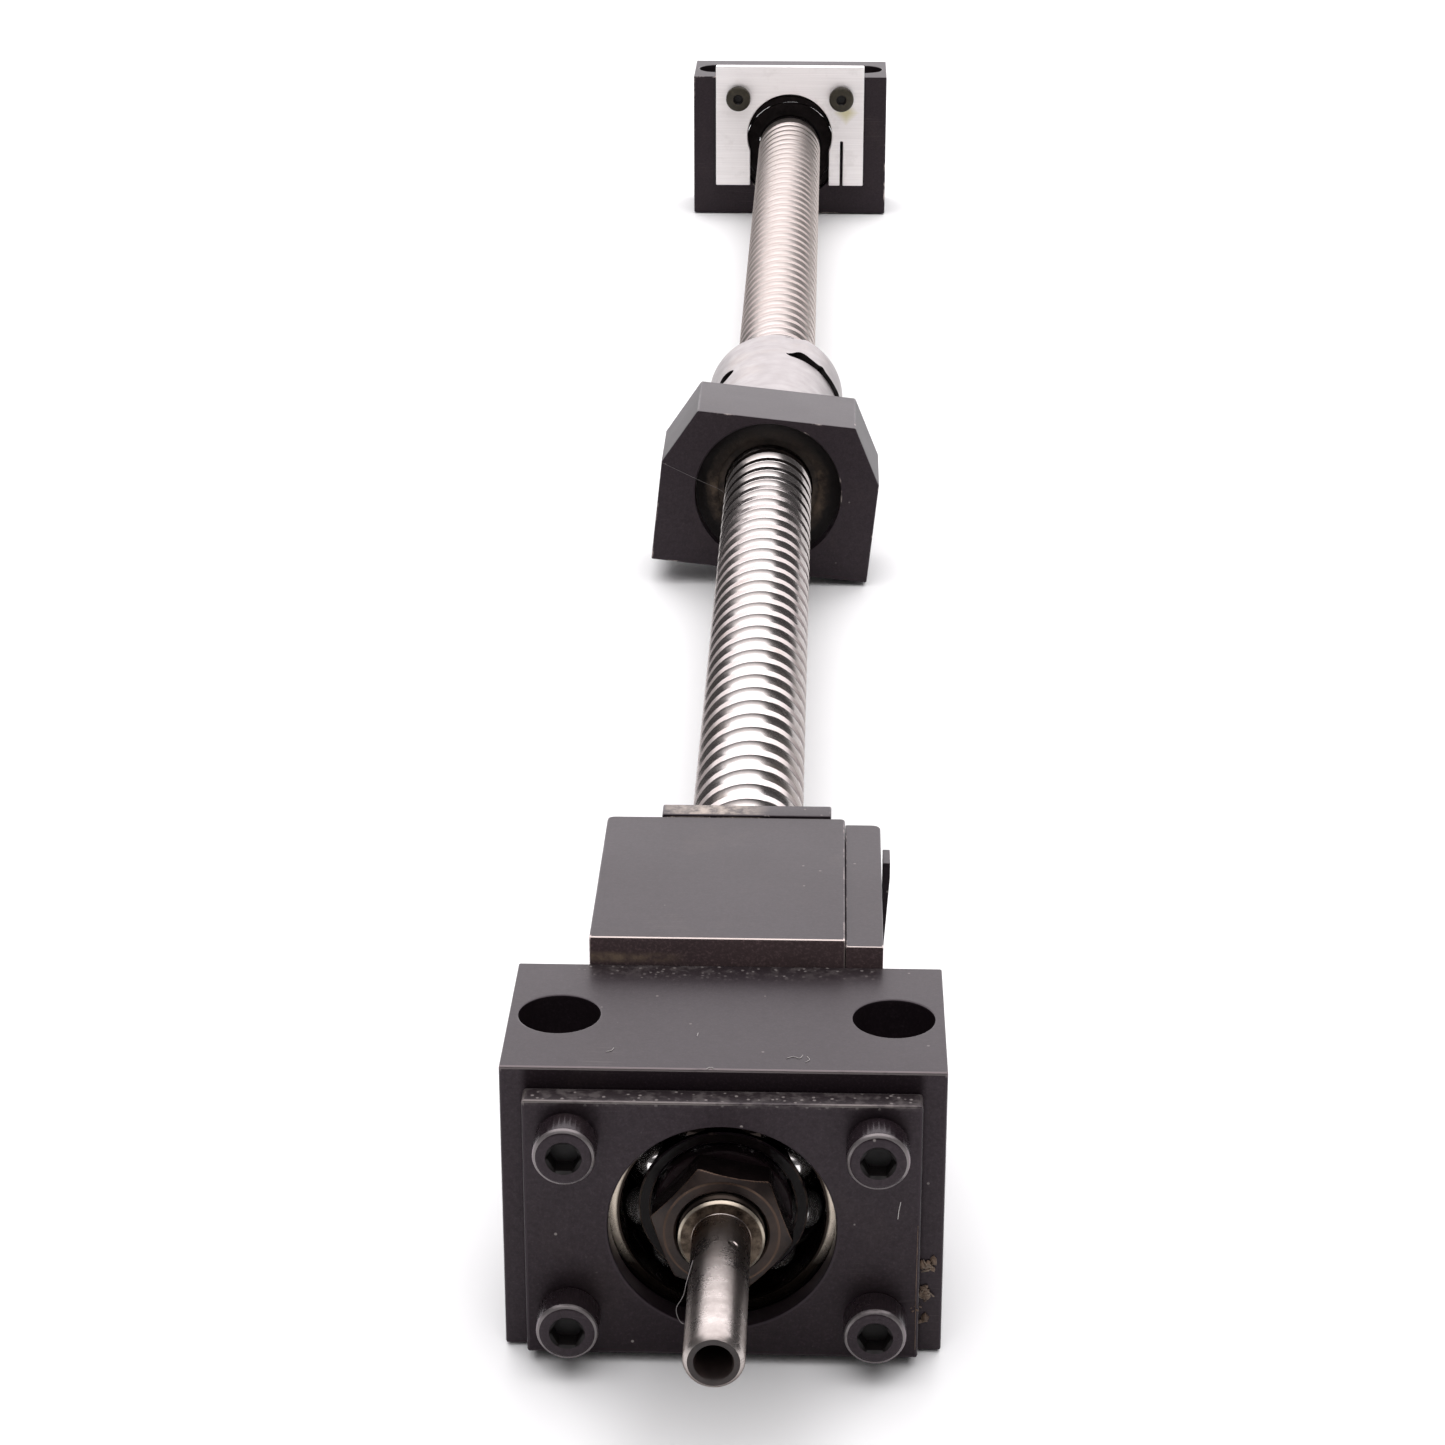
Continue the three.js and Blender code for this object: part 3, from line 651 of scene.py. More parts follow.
def block(low, high):
    points = [(x, y, z) for x in (low[0], high[0]) for y in (low[1], high[1]) for z in (low[2], high[2])]
    faces = [(0, 1, 3, 2), (4, 6, 7, 5), (0, 4, 5, 1), (2, 3, 7, 6), (0, 2, 6, 4), (1, 5, 7, 3)]
    return make("tool", points, faces)


def extruded(points):
    """A solid between two outlines, given as the points of one and then the same points moved."""
    count = len(points) // 2
    faces = [tuple(range(count)), tuple(range(count, 2 * count))]
    faces += [(k, (k + 1) % count, count + (k + 1) % count, count + k) for k in range(count)]
    return make("tool", points, faces)


def prism(outline, y0, y1):
    """An outline in x and z, extruded along y."""
    return extruded([(x, y, z) for y in (y0, y1) for x, z in outline])


def slab(outline, z0, z1):
    """An outline in x and y, extruded upwards."""
    return extruded([(x, y, z) for z in (z0, z1) for x, y in outline])


def peg(radius, y0, y1, x=0.0, z=None, sides=48):
    return turned("tool", [(radius, y0), (radius, y1)], sides=sides, x=x, z=z)


def upright_peg(radius, x, y, z0, z1):
    sides = 48
    ring = [(x + radius * math.cos(math.tau * k / sides), y + radius * math.sin(math.tau * k / sides))
            for k in range(sides)]
    return slab(ring, z0, z1)


def settled(obj):
    """Bakes an object's modifiers into its mesh."""
    graph = bpy.context.evaluated_depsgraph_get()
    mesh = bpy.data.meshes.new_from_object(obj.evaluated_get(graph))
    obj.modifiers.clear()
    obj.data = mesh


def machined(name, blank, tools, *materials, bevel):
    """A blank cut by tools, then its edges broken; the broken edges take the second material."""
    blank.name = name
    coat(blank.data, materials)
    for tool in tools:
        cut = blank.modifiers.new("cut", "BOOLEAN")
        cut.operation = "DIFFERENCE"
        cut.solver = "EXACT"
        cut.object = tool
    settled(blank)
    for tool in tools:
        bpy.data.objects.remove(tool)
    if bevel:
        edges = blank.modifiers.new("edges", "BEVEL")
        edges.width = bevel * MM
        edges.segments = 2
        edges.use_clamp_overlap = False
        edges.limit_method = "ANGLE"
        edges.angle_limit = math.radians(40)
        edges.material = min(1, len(materials) - 1)
        settled(blank)
    shade(blank.data, 25)
    flat = blank.modifiers.new("flat", "WEIGHTED_NORMAL")
    flat.weight = 100
    flat.keep_sharp = True
    settled(blank)
    return blank


def place(obj, body, slot, *nodes):
    """The piece moves with a body and stands for the CAD nodes, which it hides. The slot is not used."""
    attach(obj, body)
    if nodes:
        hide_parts(*nodes)


def dressed(node, key):
    """A CAD node that keeps its own shape and takes a material."""
    coat(frame["nodes"][node].data, [key])


# Support housings

GAP = 0.3  # between pieces that touch
BOLT_X = 23.0
BOLT_HOLE = 3.3
COUNTERBORE = 5.6
COUNTERBORE_DEPTH = 7.0
BEARING_SEAT = 16.3
HOUSING_HEIGHT = corners("front_housing")[1].z
HALF_WIDTH = radius_of("front_housing")


def bolt_holes(middle):
    tools = []
    ledge = HOUSING_HEIGHT - COUNTERBORE_DEPTH
    for x in (-BOLT_X, BOLT_X):
        tools.append(upright_peg(BOLT_HOLE, x, middle, -1, HOUSING_HEIGHT + 1))
        tools.append(upright_peg(COUNTERBORE, x, middle, ledge, HOUSING_HEIGHT + 1))
    return tools


def housing(node, seat, through_radius, extra, *materials):
    """A block bored for the bearings as far as the seat, and for the shaft beyond it."""
    y0, y1 = span(node)
    blank = block((-HALF_WIDTH, y0, 0), (HALF_WIDTH, y1, HOUSING_HEIGHT))
    tools = [
        peg(BEARING_SEAT, y0 - 1, seat, sides=72),
        peg(through_radius, y0, y1 + 1, sides=72),
        *bolt_holes((y0 + y1) / 2),
        *extra,
    ]
    piece = machined(node + "_body", blank, tools, *materials, bevel=0.35)
    place(piece, "support", "black_oxide", node)


def centre_of(node):
    """Where a CAD node's middle is, in x and z."""
    low, high = corners(node)
    return (low.x + high.x) / 2, (low.z + high.z) / 2


def screw_holes(nodes, radius, y0, y1, sides=32):
    return [peg(radius, y0, y1, *centre_of(node), sides) for node in nodes]


def cap_screw(node, height, socket, shank, facing=1, key="oxide_screw"):
    """Socket head cap screw: a knurled head of that height with a broken rim, a hexagon socket that wide
    across its flats, and a shank given as a radius and a length. Facing is -1 for a head at the rear."""
    teeth, knurl_depth = 36, 0.016
    x, z = centre_of(node)
    plain = radius_of(node) - knurl_depth

    def knurl(angle):
        return plain + knurl_depth * math.cos(teeth * angle)

    across = hexagon(socket, math.pi / 2)
    mouth = socket / math.sqrt(3) + 0.12
    out = -facing
    top = span(node)[0 if facing == 1 else 1]
    y = top - out * height
    profile = [
        (0.02, top - out * height * 0.52), (lambda a: across(a) * 0.98, top - out * height * 0.5),
        (across, top - out * 0.3), (mouth, top), (plain - 0.85, top), (plain - 0.48, top - out * 0.09),
        (plain - 0.18, top - out * 0.3), (plain - 0.03, top - out * 0.62), (knurl, top - out * 0.85),
        (knurl, y + out * 0.35), (plain - 0.05, y + out * 0.22), (plain - 0.25, y), (shank[0], y),
        (shank[0], y - out * shank[1]), (0.02, y - out * shank[1]),
    ]
    rim = "screw_rim" if key == "oxide_screw" else key
    piece = turned(node + "_body", profile, key, "pit", rim, sides=144, x=x, z=z, smooth_up_to=24)
    for face in piece.data.polygons:
        middle = middle_of(face)
        away = math.hypot(middle.x - x, middle.z - z)
        below = (top - middle.y) * out
        # the socket's walls and floor take painted shade
        if away < socket / 2 * 1.2 and below > 0.05:
            face.material_index = 1
        elif away > plain - 0.6 and below < 0.62:
            face.material_index = 2
    place(piece, "support", "black_oxide", node)


COVER_SCREWS = [f"cover_screw_{i}" for i in range(1, 5)]
COVER_OPENING = 15.4


def front_housing():
    seat = span("inner_bearing_outer_ring")[1] + GAP
    tapped = screw_holes(COVER_SCREWS, 2.5, -1, 13)
    housing("front_housing", seat, 12.2, tapped, "oxide_front", "edge_front")
    dressed("housing_seal", "seal")


def front_cover():
    tools = [peg(COVER_OPENING, -span("front_housing")[1], 5, sides=96)]
    tools += screw_holes(COVER_SCREWS, 2.8, -6, 2)
    blank = block(*corners("front_cover"))
    cover = machined("front_cover_body", blank, tools, "oxide_dusty", "edge_cover", bevel=0.4)
    place(cover, "support", "black_oxide", "front_cover")
    for node in COVER_SCREWS:
        cap_screw(node, 5.0, 4.0, (2.2, 14.0))


# Bearings

BALLS = 9
BALL_RADIUS = 2.8
PITCH = 11.0
JOURNAL = 6.0


def groove(face, y, away):
    """Points of the groove that the balls run in, on a race whose face is at that radius."""
    steps = 6
    radius = BALL_RADIUS + 0.25
    half = math.acos(abs(face - PITCH) / radius)
    angles = [half * (2 * k / steps - 1) for k in range(steps + 1)]
    return [(PITCH + away * radius * math.cos(a), y + radius * math.sin(a)) for a in angles]


def race(node, body, wall, face, away, key):
    y0, y1 = span(node)
    edge = 0.5
    run = groove(face, (y0 + y1) / 2, away)
    near = wall - away * edge
    profile = [
        (near, y0), (face + away * 0.2, y0), (face, y0 + 0.3), *run, (face, y1 - 0.3),
        (face + away * 0.2, y1), (near, y1), (wall, y1 - edge), (wall, y0 + edge),
    ]
    piece = turned(node + "_body", profile, key, sides=96, closed=True)
    place(piece, body, "bearing_steel", node)


def ball_points(radius, steps):
    """A ball of quads: rings of latitude round y."""
    return [(max(0.01, radius * math.sin(math.pi * j / steps)), -radius * math.cos(math.pi * j / steps))
            for j in range(steps + 1)]


def joined(name, objects, *materials):
    """Several objects as one piece."""
    bm = bmesh.new()
    for obj in objects:
        bm.from_mesh(obj.data)
        bpy.data.objects.remove(obj)
    mesh = bpy.data.meshes.new(name)
    bm.to_mesh(mesh)
    bm.free()
    coat(mesh, materials)
    shade(mesh, 28)
    return linked(name, mesh)


def ball_ring(name, body):
    """A machined cage with a pocket for each ball, and the balls in it."""
    node = f"{name}_ball_cage"
    y0, y1 = span(node)

    def one_in_each_place(radius, steps, sides):
        """A ball of that radius in each of the cage's places."""
        profile = [(r, (y0 + y1) / 2 + y) for r, y in ball_points(radius, steps)]
        turns = [math.tau * (k + 0.5) / BALLS for k in range(BALLS)]
        return [
            turned("ball", profile, sides=sides, x=PITCH * math.sin(a), z=AXIS + PITCH * math.cos(a))
            for a in turns
        ]

    balls = joined(name + "_balls", one_in_each_place(BALL_RADIUS, 20, 28), "ball")
    place(balls, body, "bearing_steel", node)
    profile = ring_profile(PITCH - 1.1, PITCH + 0.55, y0, y1, 0.25)
    cage = turned(name + "_cage", profile, "cage", sides=72, closed=True)
    pockets = one_in_each_place(BALL_RADIUS + 0.12, 12, 20)
    cage = machined(name + "_cage", cage, pockets, "cage", "cage_edge", bevel=0)
    for face in cage.data.polygons:
        if -0.9 < face.normal.y < -0.5 and middle_of(face).y < y0 + 0.3:
            face.material_index = 1
    place(cage, body, "cage_black")


def bearings():
    for name, body in (("front_bearing", "front_cage"), ("inner_bearing", "inner_cage"),
                       ("rear_bearing", "rear_cage")):
        # the rear bearing's steel races take the seal's black rubber finish as painted shade
        outer, inner = ("seal", "seal") if name == "rear_bearing" else ("ring", "ring_dark")
        race(f"{name}_outer_ring", "support", 16.0, 13.9, 1, outer)
        race(f"{name}_inner_ring", "screw", JOURNAL + GAP, 9.4, -1, inner)
        ball_ring(name, body)
    # a black seal across the rear bearing's face, which also paints shade over its balls and cage
    face = span("rear_bearing_outer_ring")[0]
    seal = ring_profile(9.6, 13.75, face + 0.3, face + 1.1, 0.2)
    place(turned("rear_bearing_seal", seal, "seal", sides=96, closed=True), "rear_cage", "cage_black")


# Screw shaft

SIDES = 48
LAND = 2.45 / 6.35  # share of the lead that the land takes
GROOVE_DEPTH = 1.72
THREAD_START = 31.0
DRIVE_END = 4.0
SHOULDER = -6.8  # where the drive end starts
M12_CREST = 5.85
M12_ROOT = 5.35


def thread_profile():
    """(share of the lead, radius) along one turn: the land, then a round groove."""
    outer = radius_of("screw_shaft")
    rim = outer - 0.06
    half = (1 - LAND) / 2
    points = [(0.0, rim), (0.014, outer), (LAND - 0.014, outer), (LAND, rim)]
    steps = 8
    for k in range(1, steps):
        across = 2 * k / steps - 1
        depth = (GROOVE_DEPTH - 0.06) * math.sqrt(1 - across ** 2)
        points.append((LAND + half * (1 + across), rim - depth))
    return points


def radius_at(share, profile):
    """The thread's radius at any share of the lead, between the profile's points."""
    share %= 1.0
    closed = profile + [(1.0, profile[0][1])]
    for (s0, r0), (s1, r1) in zip(closed, closed[1:]):
        if s0 <= share <= s1:
            return r0 + (r1 - r0) * (share - s0) / (s1 - s0)
    return profile[0][1]


def shaft_ends():
    """Profiles of the plain ends, in front of the thread and behind it, and where the thread ends."""
    tip, end = span("screw_shaft")
    front = [
        (0.02, tip + 9), (2.4, tip + 8), (2.45, tip + 0.3), (2.6, tip + 0.05), (2.75, tip),
        (DRIVE_END - 0.62, tip), (DRIVE_END - 0.5, tip + 0.08), (DRIVE_END - 0.15, tip + 0.4),
        (DRIVE_END, tip + 0.8), (DRIVE_END, SHOULDER - 0.06), (DRIVE_END + 0.06, SHOULDER),
        (5.5, SHOULDER), (M12_CREST, SHOULDER + 0.35),
    ]
    for k in range(6):  # the M12 thread, as rings one millimetre apart
        y = SHOULDER + 0.85 + k
        front += [(M12_CREST, y), (M12_ROOT, y + 0.42), (M12_ROOT, y + 0.5), (M12_CREST, y + 0.92)]
    front += [(JOURNAL, 0.3), (JOURNAL, 30.4), (8.4, 30.5)]
    clip_front, clip_rear = span("rear_circlip")
    thread_end = span("rear_plate")[1] - GAP
    rear = [
        (8.4, thread_end), (JOURNAL, thread_end + 0.05), (JOURNAL, clip_front - 0.2),
        (5.4, clip_front - 0.2), (5.4, clip_rear + 0.2), (JOURNAL, clip_rear + 0.2),
        (JOURNAL, end - 0.6), (JOURNAL - 0.6, end), (0.02, end),
    ]
    return front, rear, thread_end - 1


def screw_shaft():
    """The whole shaft as one surface: every column of points runs from tip to tail, and the thread's rows
    climb one lead in a turn, so the last column joins the first one row set further on."""
    front, rear, thread_end = shaft_ends()
    profile = thread_profile()
    rows_per_turn = len(profile)
    turns = math.ceil((thread_end - THREAD_START) / LEAD) + 2
    points = []
    for k in range(SIDES):
        angle = math.tau * k / SIDES
        along = list(front)
        for row in range(-rows_per_turn, turns * rows_per_turn):
            turn, step = divmod(row, rows_per_turn)
            wanted = THREAD_START + LEAD * (turn + profile[step][0] + k / SIDES)
            y = min(max(wanted, THREAD_START), thread_end)
            radius = profile[step][1]
            if y != wanted:
                radius = radius_at((y - THREAD_START) / LEAD - k / SIDES, profile)
            fade = min(1.0, (y - THREAD_START) / LEAD, (thread_end - y) / LEAD)
            outer = profile[1][1]
            along.append((outer - (outer - radius) * max(0.0, fade), y))
        along += rear
        points += [(r * math.sin(angle), y, AXIS + r * math.cos(angle)) for r, y in along]
    length = len(points) // SIDES
    first, last = len(front), length - len(rear) - 1
    faces = []
    for k in range(SIDES):
        ahead = (k + 1) % SIDES
        shift = rows_per_turn if ahead == 0 else 0
        for j in range(length - 1):
            near = [k * length + j, k * length + j + 1]
            far = []
            for index in (j + 1, j):
                inside = first <= index <= last
                far.append(ahead * length + (min(index + shift, last) if inside else index))
            faces.append((*near, *far))
    faces.append(tuple(k * length for k in range(SIDES)))
    faces.append(tuple(k * length + length - 1 for k in range(SIDES)))
    materials = ("thread", "journal", "bore", "shoulder", "shoulder_face")
    piece = make("screw_shaft_body", points, faces, *materials, smooth_up_to=32)
    for face in piece.data.polygons:
        middle = middle_of(face)
        y = middle.y
        if y < THREAD_START or y > thread_end:
            face.material_index = 1
        # the centre hole in the drive end's tip takes painted shade
        if y < front[-1][1] and off_axis(middle) < 3.3:
            face.material_index = 2
        elif SHOULDER - 0.1 < y < 0.3 and off_axis(middle) > DRIVE_END + 0.1:
            face.material_index = 4 if y < SHOULDER + 0.4 else 3
    place(piece, "screw", "screw_steel", "screw_shaft")


def lock_nut():
    """Hexagon nut whose corners are turned down to a cone on the front face."""
    y0, y1 = span("lock_nut")
    flats = 17.0
    hexa = hexagon(flats, math.radians(79))
    face = 7.9  # radius where the cone starts
    slope = math.tan(math.radians(30))

    def cone(y):
        return lambda angle: min(hexa(angle), face + (y - y0) / slope)

    steps = 24
    deepest = (flats / math.sqrt(3) - face) * slope
    profile = [(6.2, y0 + 0.3), (6.5, y0), (7.6, y0), (face, y0 + 0.05)]
    profile += [(cone(y0 + deepest * k / steps), y0 + deepest * k / steps) for k in range(1, steps + 1)]
    profile += [(hexa, y1 - 0.2), (lambda a: hexa(a) - 0.25, y1), (6.2, y1)]
    materials = ("browned", "worn_brown", "cage")
    piece = turned("lock_nut_body", profile, *materials, sides=144, closed=True, smooth_up_to=22)
    for polygon in piece.data.polygons:
        middle = middle_of(polygon)
        behind = middle.y - y0
        past_cone = face + behind / slope - hexa(math.atan2(middle.z - AXIS, middle.x))
        if behind < deepest and (abs(past_cone) < 0.11 or abs(off_axis(middle) - 7.75) < 0.16):
            polygon.material_index = 1
        elif past_cone > 0 and behind > 0.3:
            polygon.material_index = 2
    place(piece, "screw", "browned_steel", "lock_nut")


def collar_and_circlip():
    y0, y1 = span("screw_collar")
    collar = turned("screw_collar_body", ring_profile(6.3, 9.0, y0, y1, 0.4), "journal", closed=True)
    place(collar, "screw", "screw_steel", "screw_collar")
    dressed("rear_circlip", "browned")


# Stop block


def corner(x, y, radius):
    """A rounded rear corner of an outline that runs front left, front right, rear right, rear left."""
    steps = 5
    side = math.copysign(1, x)
    turns = [math.pi / 2 * k / steps for k in range(steps + 1)]
    points = [
        (x - side * radius * (1 - math.cos(a)), y - radius * (1 - math.sin(a)))
        for a in turns
    ]
    return points if side > 0 else points[::-1]


STOP_SCREWS = ["stop_screw_1", "stop_screw_2"]


def stop_piece(node, blank, tools, bevel):
    """A part of the stop: its front, which rubs, takes the third material."""
    front, _ = span(node)
    materials = ("oxide_stop", "edge_stop", "browned_front")
    piece = machined(node + "_body", blank, tools, *materials, bevel=bevel)
    for face in piece.data.polygons:
        if face.normal.y < -0.9 and abs(middle_of(face).y - front) < 0.05:
            face.material_index = 2
    place(piece, "support", "grey_oxide", node)


def stop_block():
    low, high = corners("stop_block")
    outline = [(low.x, low.y), (high.x, low.y), *corner(high.x, high.y, 0.7), *corner(low.x, high.y, 1.1)]
    blank = slab(outline, low.z, high.z)
    tools = [
        peg(12.5, low.y - 1, high.y + 1, sides=72),
        *screw_holes(STOP_SCREWS, 2.3, low.y - 1, high.y + 1),
        *screw_holes(STOP_SCREWS, 4.1, high.y - 6, high.y + 1, 48),
    ]
    stop_piece("stop_block", blank, tools, 0.3)
    for node in STOP_SCREWS:
        cap_screw(node, 4.0, 3.0, (1.7, 42.0), facing=-1)


def stop_side_strip():
    low, high = corners("stop_side_strip")
    seam = low.x - 0.24
    outline = [(seam, low.y), (high.x, low.y), *corner(high.x, high.y, 1.3), (seam, high.y)]
    stop_piece("stop_side_strip", slab(outline, low.z, high.z), [], 0.2)


def side_flag():
    low, high = corners("side_flag")
    leaning = [
        (low.x, low.z), (low.x + 0.15, low.z), (high.x, high.z - 2.5), (high.x, high.z), (low.x, high.z),
    ]
    blank = prism(leaning, low.y, high.y)
    flag = machined("side_flag_body", blank, [], "oxide_stop", "edge", bevel=0.05)
    place(flag, "support", "black_oxide", "side_flag")


def stop_plate():
    low, high = corners("stop_plate")
    hole = peg(11, low.y - 1, high.y + 1, sides=72)
    plate = machined("stop_plate_body", block(low, high), [hole], "oxide_plate", "edge", bevel=0.3)
    place(plate, "support", "grey_oxide", "stop_plate")


# Nut and bracket


BRACKET_ROLL = math.radians(6.1)  # clockwise, as seen from the front


def rolled(x, z):
    """A point at x and z from the axis, turned with the bracket."""
    sin, cos = math.sin(BRACKET_ROLL), math.cos(BRACKET_ROLL)
    return x * cos + z * sin, AXIS - x * sin + z * cos


def nut_bracket():
    y0, y1 = span("nut_bracket")
    half, above, below, corner_x, corner_z = 24.0, 17.1, 18.1, 6.7, 12.5
    outline = [
        (-half, -below), (half, -below), (half, above - corner_z), (half - corner_x, above),
        (-half + corner_x, above), (-half, above - corner_z),
    ]
    blank = prism([rolled(x, z) for x, z in outline], y0, y1)
    tools = [peg(16.0, y0 - 1, y1 + 1, sides=96)]
    piece = machined("nut_bracket_body", blank, tools, "oxide_bracket", "edge", bevel=0.3)
    place(piece, "ball_nut", "black_oxide", "nut_bracket")
    dressed("bracket_grub_screw", "browned")


def nut_nose_grease():
    """A dished collar of grease that fills the bracket's bore in front of the nut."""
    nose = span("ball_nut_body")[0]
    profile = [
        (11.1, nose - 0.12), (11.7, nose - 0.35), (13.4, nose - 0.45), (14.6, nose - 0.9),
        (15.4, nose - 1.5), (15.97, nose - 1.9), (15.97, nose - 0.05), (11.1, nose - 0.05),
    ]
    collar = turned("nut_nose_grease", profile, "front_grease", sides=96, closed=True)
    place(collar, "ball_nut", "wiper_felt")


def ball_nut_body():
    y0, y1 = span("ball_nut_body")
    radius = radius_of("ball_nut_body")
    bore = 10.3
    seat = bore + 1.8
    profile = [
        (seat, y0), (radius - 1, y0), (radius, y0 + 1), (radius, y1 - 1), (radius - 0.7, y1 - 0.15),
        (radius - 1.2, y1), (seat, y1),
        (seat, y1 - 4), (bore, y1 - 4), (bore, y0 + 4), (seat, y0 + 4),
    ]
    blank = turned("tool", profile, sides=128, closed=True)
    piece = machined("ball_nut_body_shell", blank, [guide_pocket(), small_slot()], "nut", bevel=0)
    for key in ("front_grease", "pit"):
        piece.data.materials.append(MATERIALS[key])
    for face in piece.data.polygons:
        middle = middle_of(face)
        if middle.y < y0 + 0.9:
            face.material_index = 1
        # the walls and floors of the guide pocket and the slot take painted shade
        elif y0 + 5 < middle.y < y1 - 1.2 and seat < off_axis(middle) < radius - 0.05:
            face.material_index = 2
    place(piece, "ball_nut", "nut_steel", "ball_nut_body")
    dressed("front_wiper", "front_grease")
    dressed("rear_wiper", "seal")


def shell_patch(name, inner, outer, front, rear, turns, steps, *materials):
    """Part of a ring between two turns in degrees from the top towards +X. The outer radius, the front
    and the rear are numbers or functions of the turn."""
    points = []
    for k in range(steps + 1):
        degrees = turns[0] + (turns[1] - turns[0]) * k / steps
        a = math.radians(degrees)
        out, y0, y1 = (reach(limit, degrees) for limit in (outer, front, rear))
        for radius, y in ((inner, y0), (out, y0), (out, y1), (inner, y1)):
            points.append((radius * math.sin(a), y, AXIS + radius * math.cos(a)))
    faces = [(0, 1, 2, 3), tuple(4 * steps + k for k in range(4))]
    faces += [
        (4 * k + e, 4 * k + (e + 1) % 4, 4 * k + 4 + (e + 1) % 4, 4 * k + 4 + e)
        for k in range(steps)
        for e in range(4)
    ]
    return make(name, points, faces, *materials)


GUIDE_FROM, GUIDE_TO = 10.0, 100.0
GUIDE_SEAT = 13.6
OUTSIDE = 19.0  # past the nut's surface, for tools
SLOT = {"from": -53, "to": -36, "middle": 362.5, "half_width": 3.2}  # on the nut's left shoulder


def pocket_front(degrees):
    """The pocket's front wall, which comes back in a curve at the end nearest the top."""
    y0, _ = span("return_guide")
    return y0 - 1.6 + 2.6 * max(0.0, 1 - (degrees - GUIDE_FROM) / 6) ** 2


def guide_pocket():
    rear = span("return_guide")[1] + GAP
    turns = (GUIDE_FROM, GUIDE_TO)
    return shell_patch("tool", GUIDE_SEAT - GAP, OUTSIDE, pocket_front, rear, turns, 60)


def small_slot():
    """A slanted slot, wider towards its lower end."""
    start, end = SLOT["from"], SLOT["to"]

    def edge(side):
        def y(degrees):
            along = (degrees - start) / (end - start)
            bulge = math.sqrt(max(0.01, 4 * along * (1 - along))) * (1.15 - 0.5 * along)
            return SLOT["middle"] + 0.05 * (degrees + 44) + side * SLOT["half_width"] * bulge
        return y

    return shell_patch("tool", GUIDE_SEAT, OUTSIDE, edge(-1), edge(1), (start, end), 16)


def return_guide():
    """The cover of the ball return. Its front edge swells back in two places and bares the pocket."""
    y0, y1 = span("return_guide")
    flush = radius_of("ball_nut_body")

    def front(degrees):
        swell = 2.8 * math.exp(-((degrees - 22) / 6.5) ** 2) + 1.5 * math.exp(-((degrees - 45) / 3) ** 2)
        return max(y0 - 1.2 + min(1.2, 0.04 * abs(degrees - 60)) + swell, pocket_front(degrees) + 0.12)

    def outer(degrees):
        rise = min(1.0, max(0.0, min(degrees - GUIDE_FROM - 6, GUIDE_TO - degrees) / 14))
        return flush + 0.9 * rise * rise * (3 - 2 * rise)

    turns = (GUIDE_FROM - 0.1, GUIDE_TO + 0.1)
    piece = shell_patch("return_guide_body", GUIDE_SEAT, outer, front, y1, turns, 90, "nut", "pit")
    for face in piece.data.polygons:
        # faces that look forward, into the pocket the guide bares, take painted shade
        if face.normal.y < -0.5:
            face.material_index = 1
    place(piece, "ball_nut", "nut_steel", "return_guide")


# Rear support

PLATE_SCREWS = ["rear_plate_screw_1", "rear_plate_screw_2"]
ARCH = {"radius": 13.15, "height": 25, "half_width": 12.3, "top": 21.4}
SLIT = {"left": 15.75, "right": 16.65, "top": 23.5}


def rear_housing():
    y0, _ = span("rear_housing")
    seat = span("rear_bearing_outer_ring")[1] + 2 * GAP
    tapped = screw_holes(PLATE_SCREWS, 2.0, y0 - 1, y0 + 9)
    housing("rear_housing", seat, 13.5, tapped, "oxide", "edge")


def rear_plate():
    low, high = corners("rear_plate")
    y0, y1 = low.y - 1, high.y + 1
    tools = [
        peg(ARCH["radius"], y0, y1, 0, ARCH["height"], 96),
        block((-ARCH["half_width"], y0, 0), (ARCH["half_width"], y1, ARCH["top"])),
        block((SLIT["left"], y0, 0), (SLIT["right"], y1, SLIT["top"])),
        *screw_holes(PLATE_SCREWS, 2.3, y0, y1),
    ]
    plate = machined("rear_plate_body", block(low, high), tools, "aluminium", bevel=0.3)
    place(plate, "support", "aluminium", "rear_plate")
    for node in PLATE_SCREWS:
        cap_screw(node, 2.6, 2.5, (1.7, 9.8), key="head")


# Dirt


def strand(name, waypoints, radius, key):
    """A thin bent thread through the given points."""
    stops = [Vector(p) for p in waypoints]
    stops = [stops[0] * 2 - stops[1], *stops, stops[-1] * 2 - stops[-2]]
    path = []
    for a, b, c, d in zip(stops, stops[1:], stops[2:], stops[3:]):
        for k in range(6):
            u = k / 6
            path.append(0.5 * (2 * b + (c - a) * u + (2 * a - 5 * b + 4 * c - d) * u ** 2
                               + (3 * b - a - 3 * c + d) * u ** 3))
    path.append(stops[-2])
    sides = 6
    points = []
    for i, at in enumerate(path):
        along = (path[min(i + 1, len(path) - 1)] - path[max(i - 1, 0)]).normalized()
        aside = along.cross(Vector((0.31, 0.22, 0.92))).normalized()
        up = aside.cross(along)
        for k in range(sides):
            a = math.tau * k / sides
            points.append(at + radius * (math.cos(a) * aside + math.sin(a) * up))
    faces = tube_faces(len(path), sides)
    faces += [tuple(range(sides)), tuple(range(len(points) - sides, len(points)))]
    return make(name, points, faces, key, smooth_up_to=60)


def fibre(name, waypoints, radius, key, body, slot):
    place(strand(name, waypoints, radius, key), body, slot)


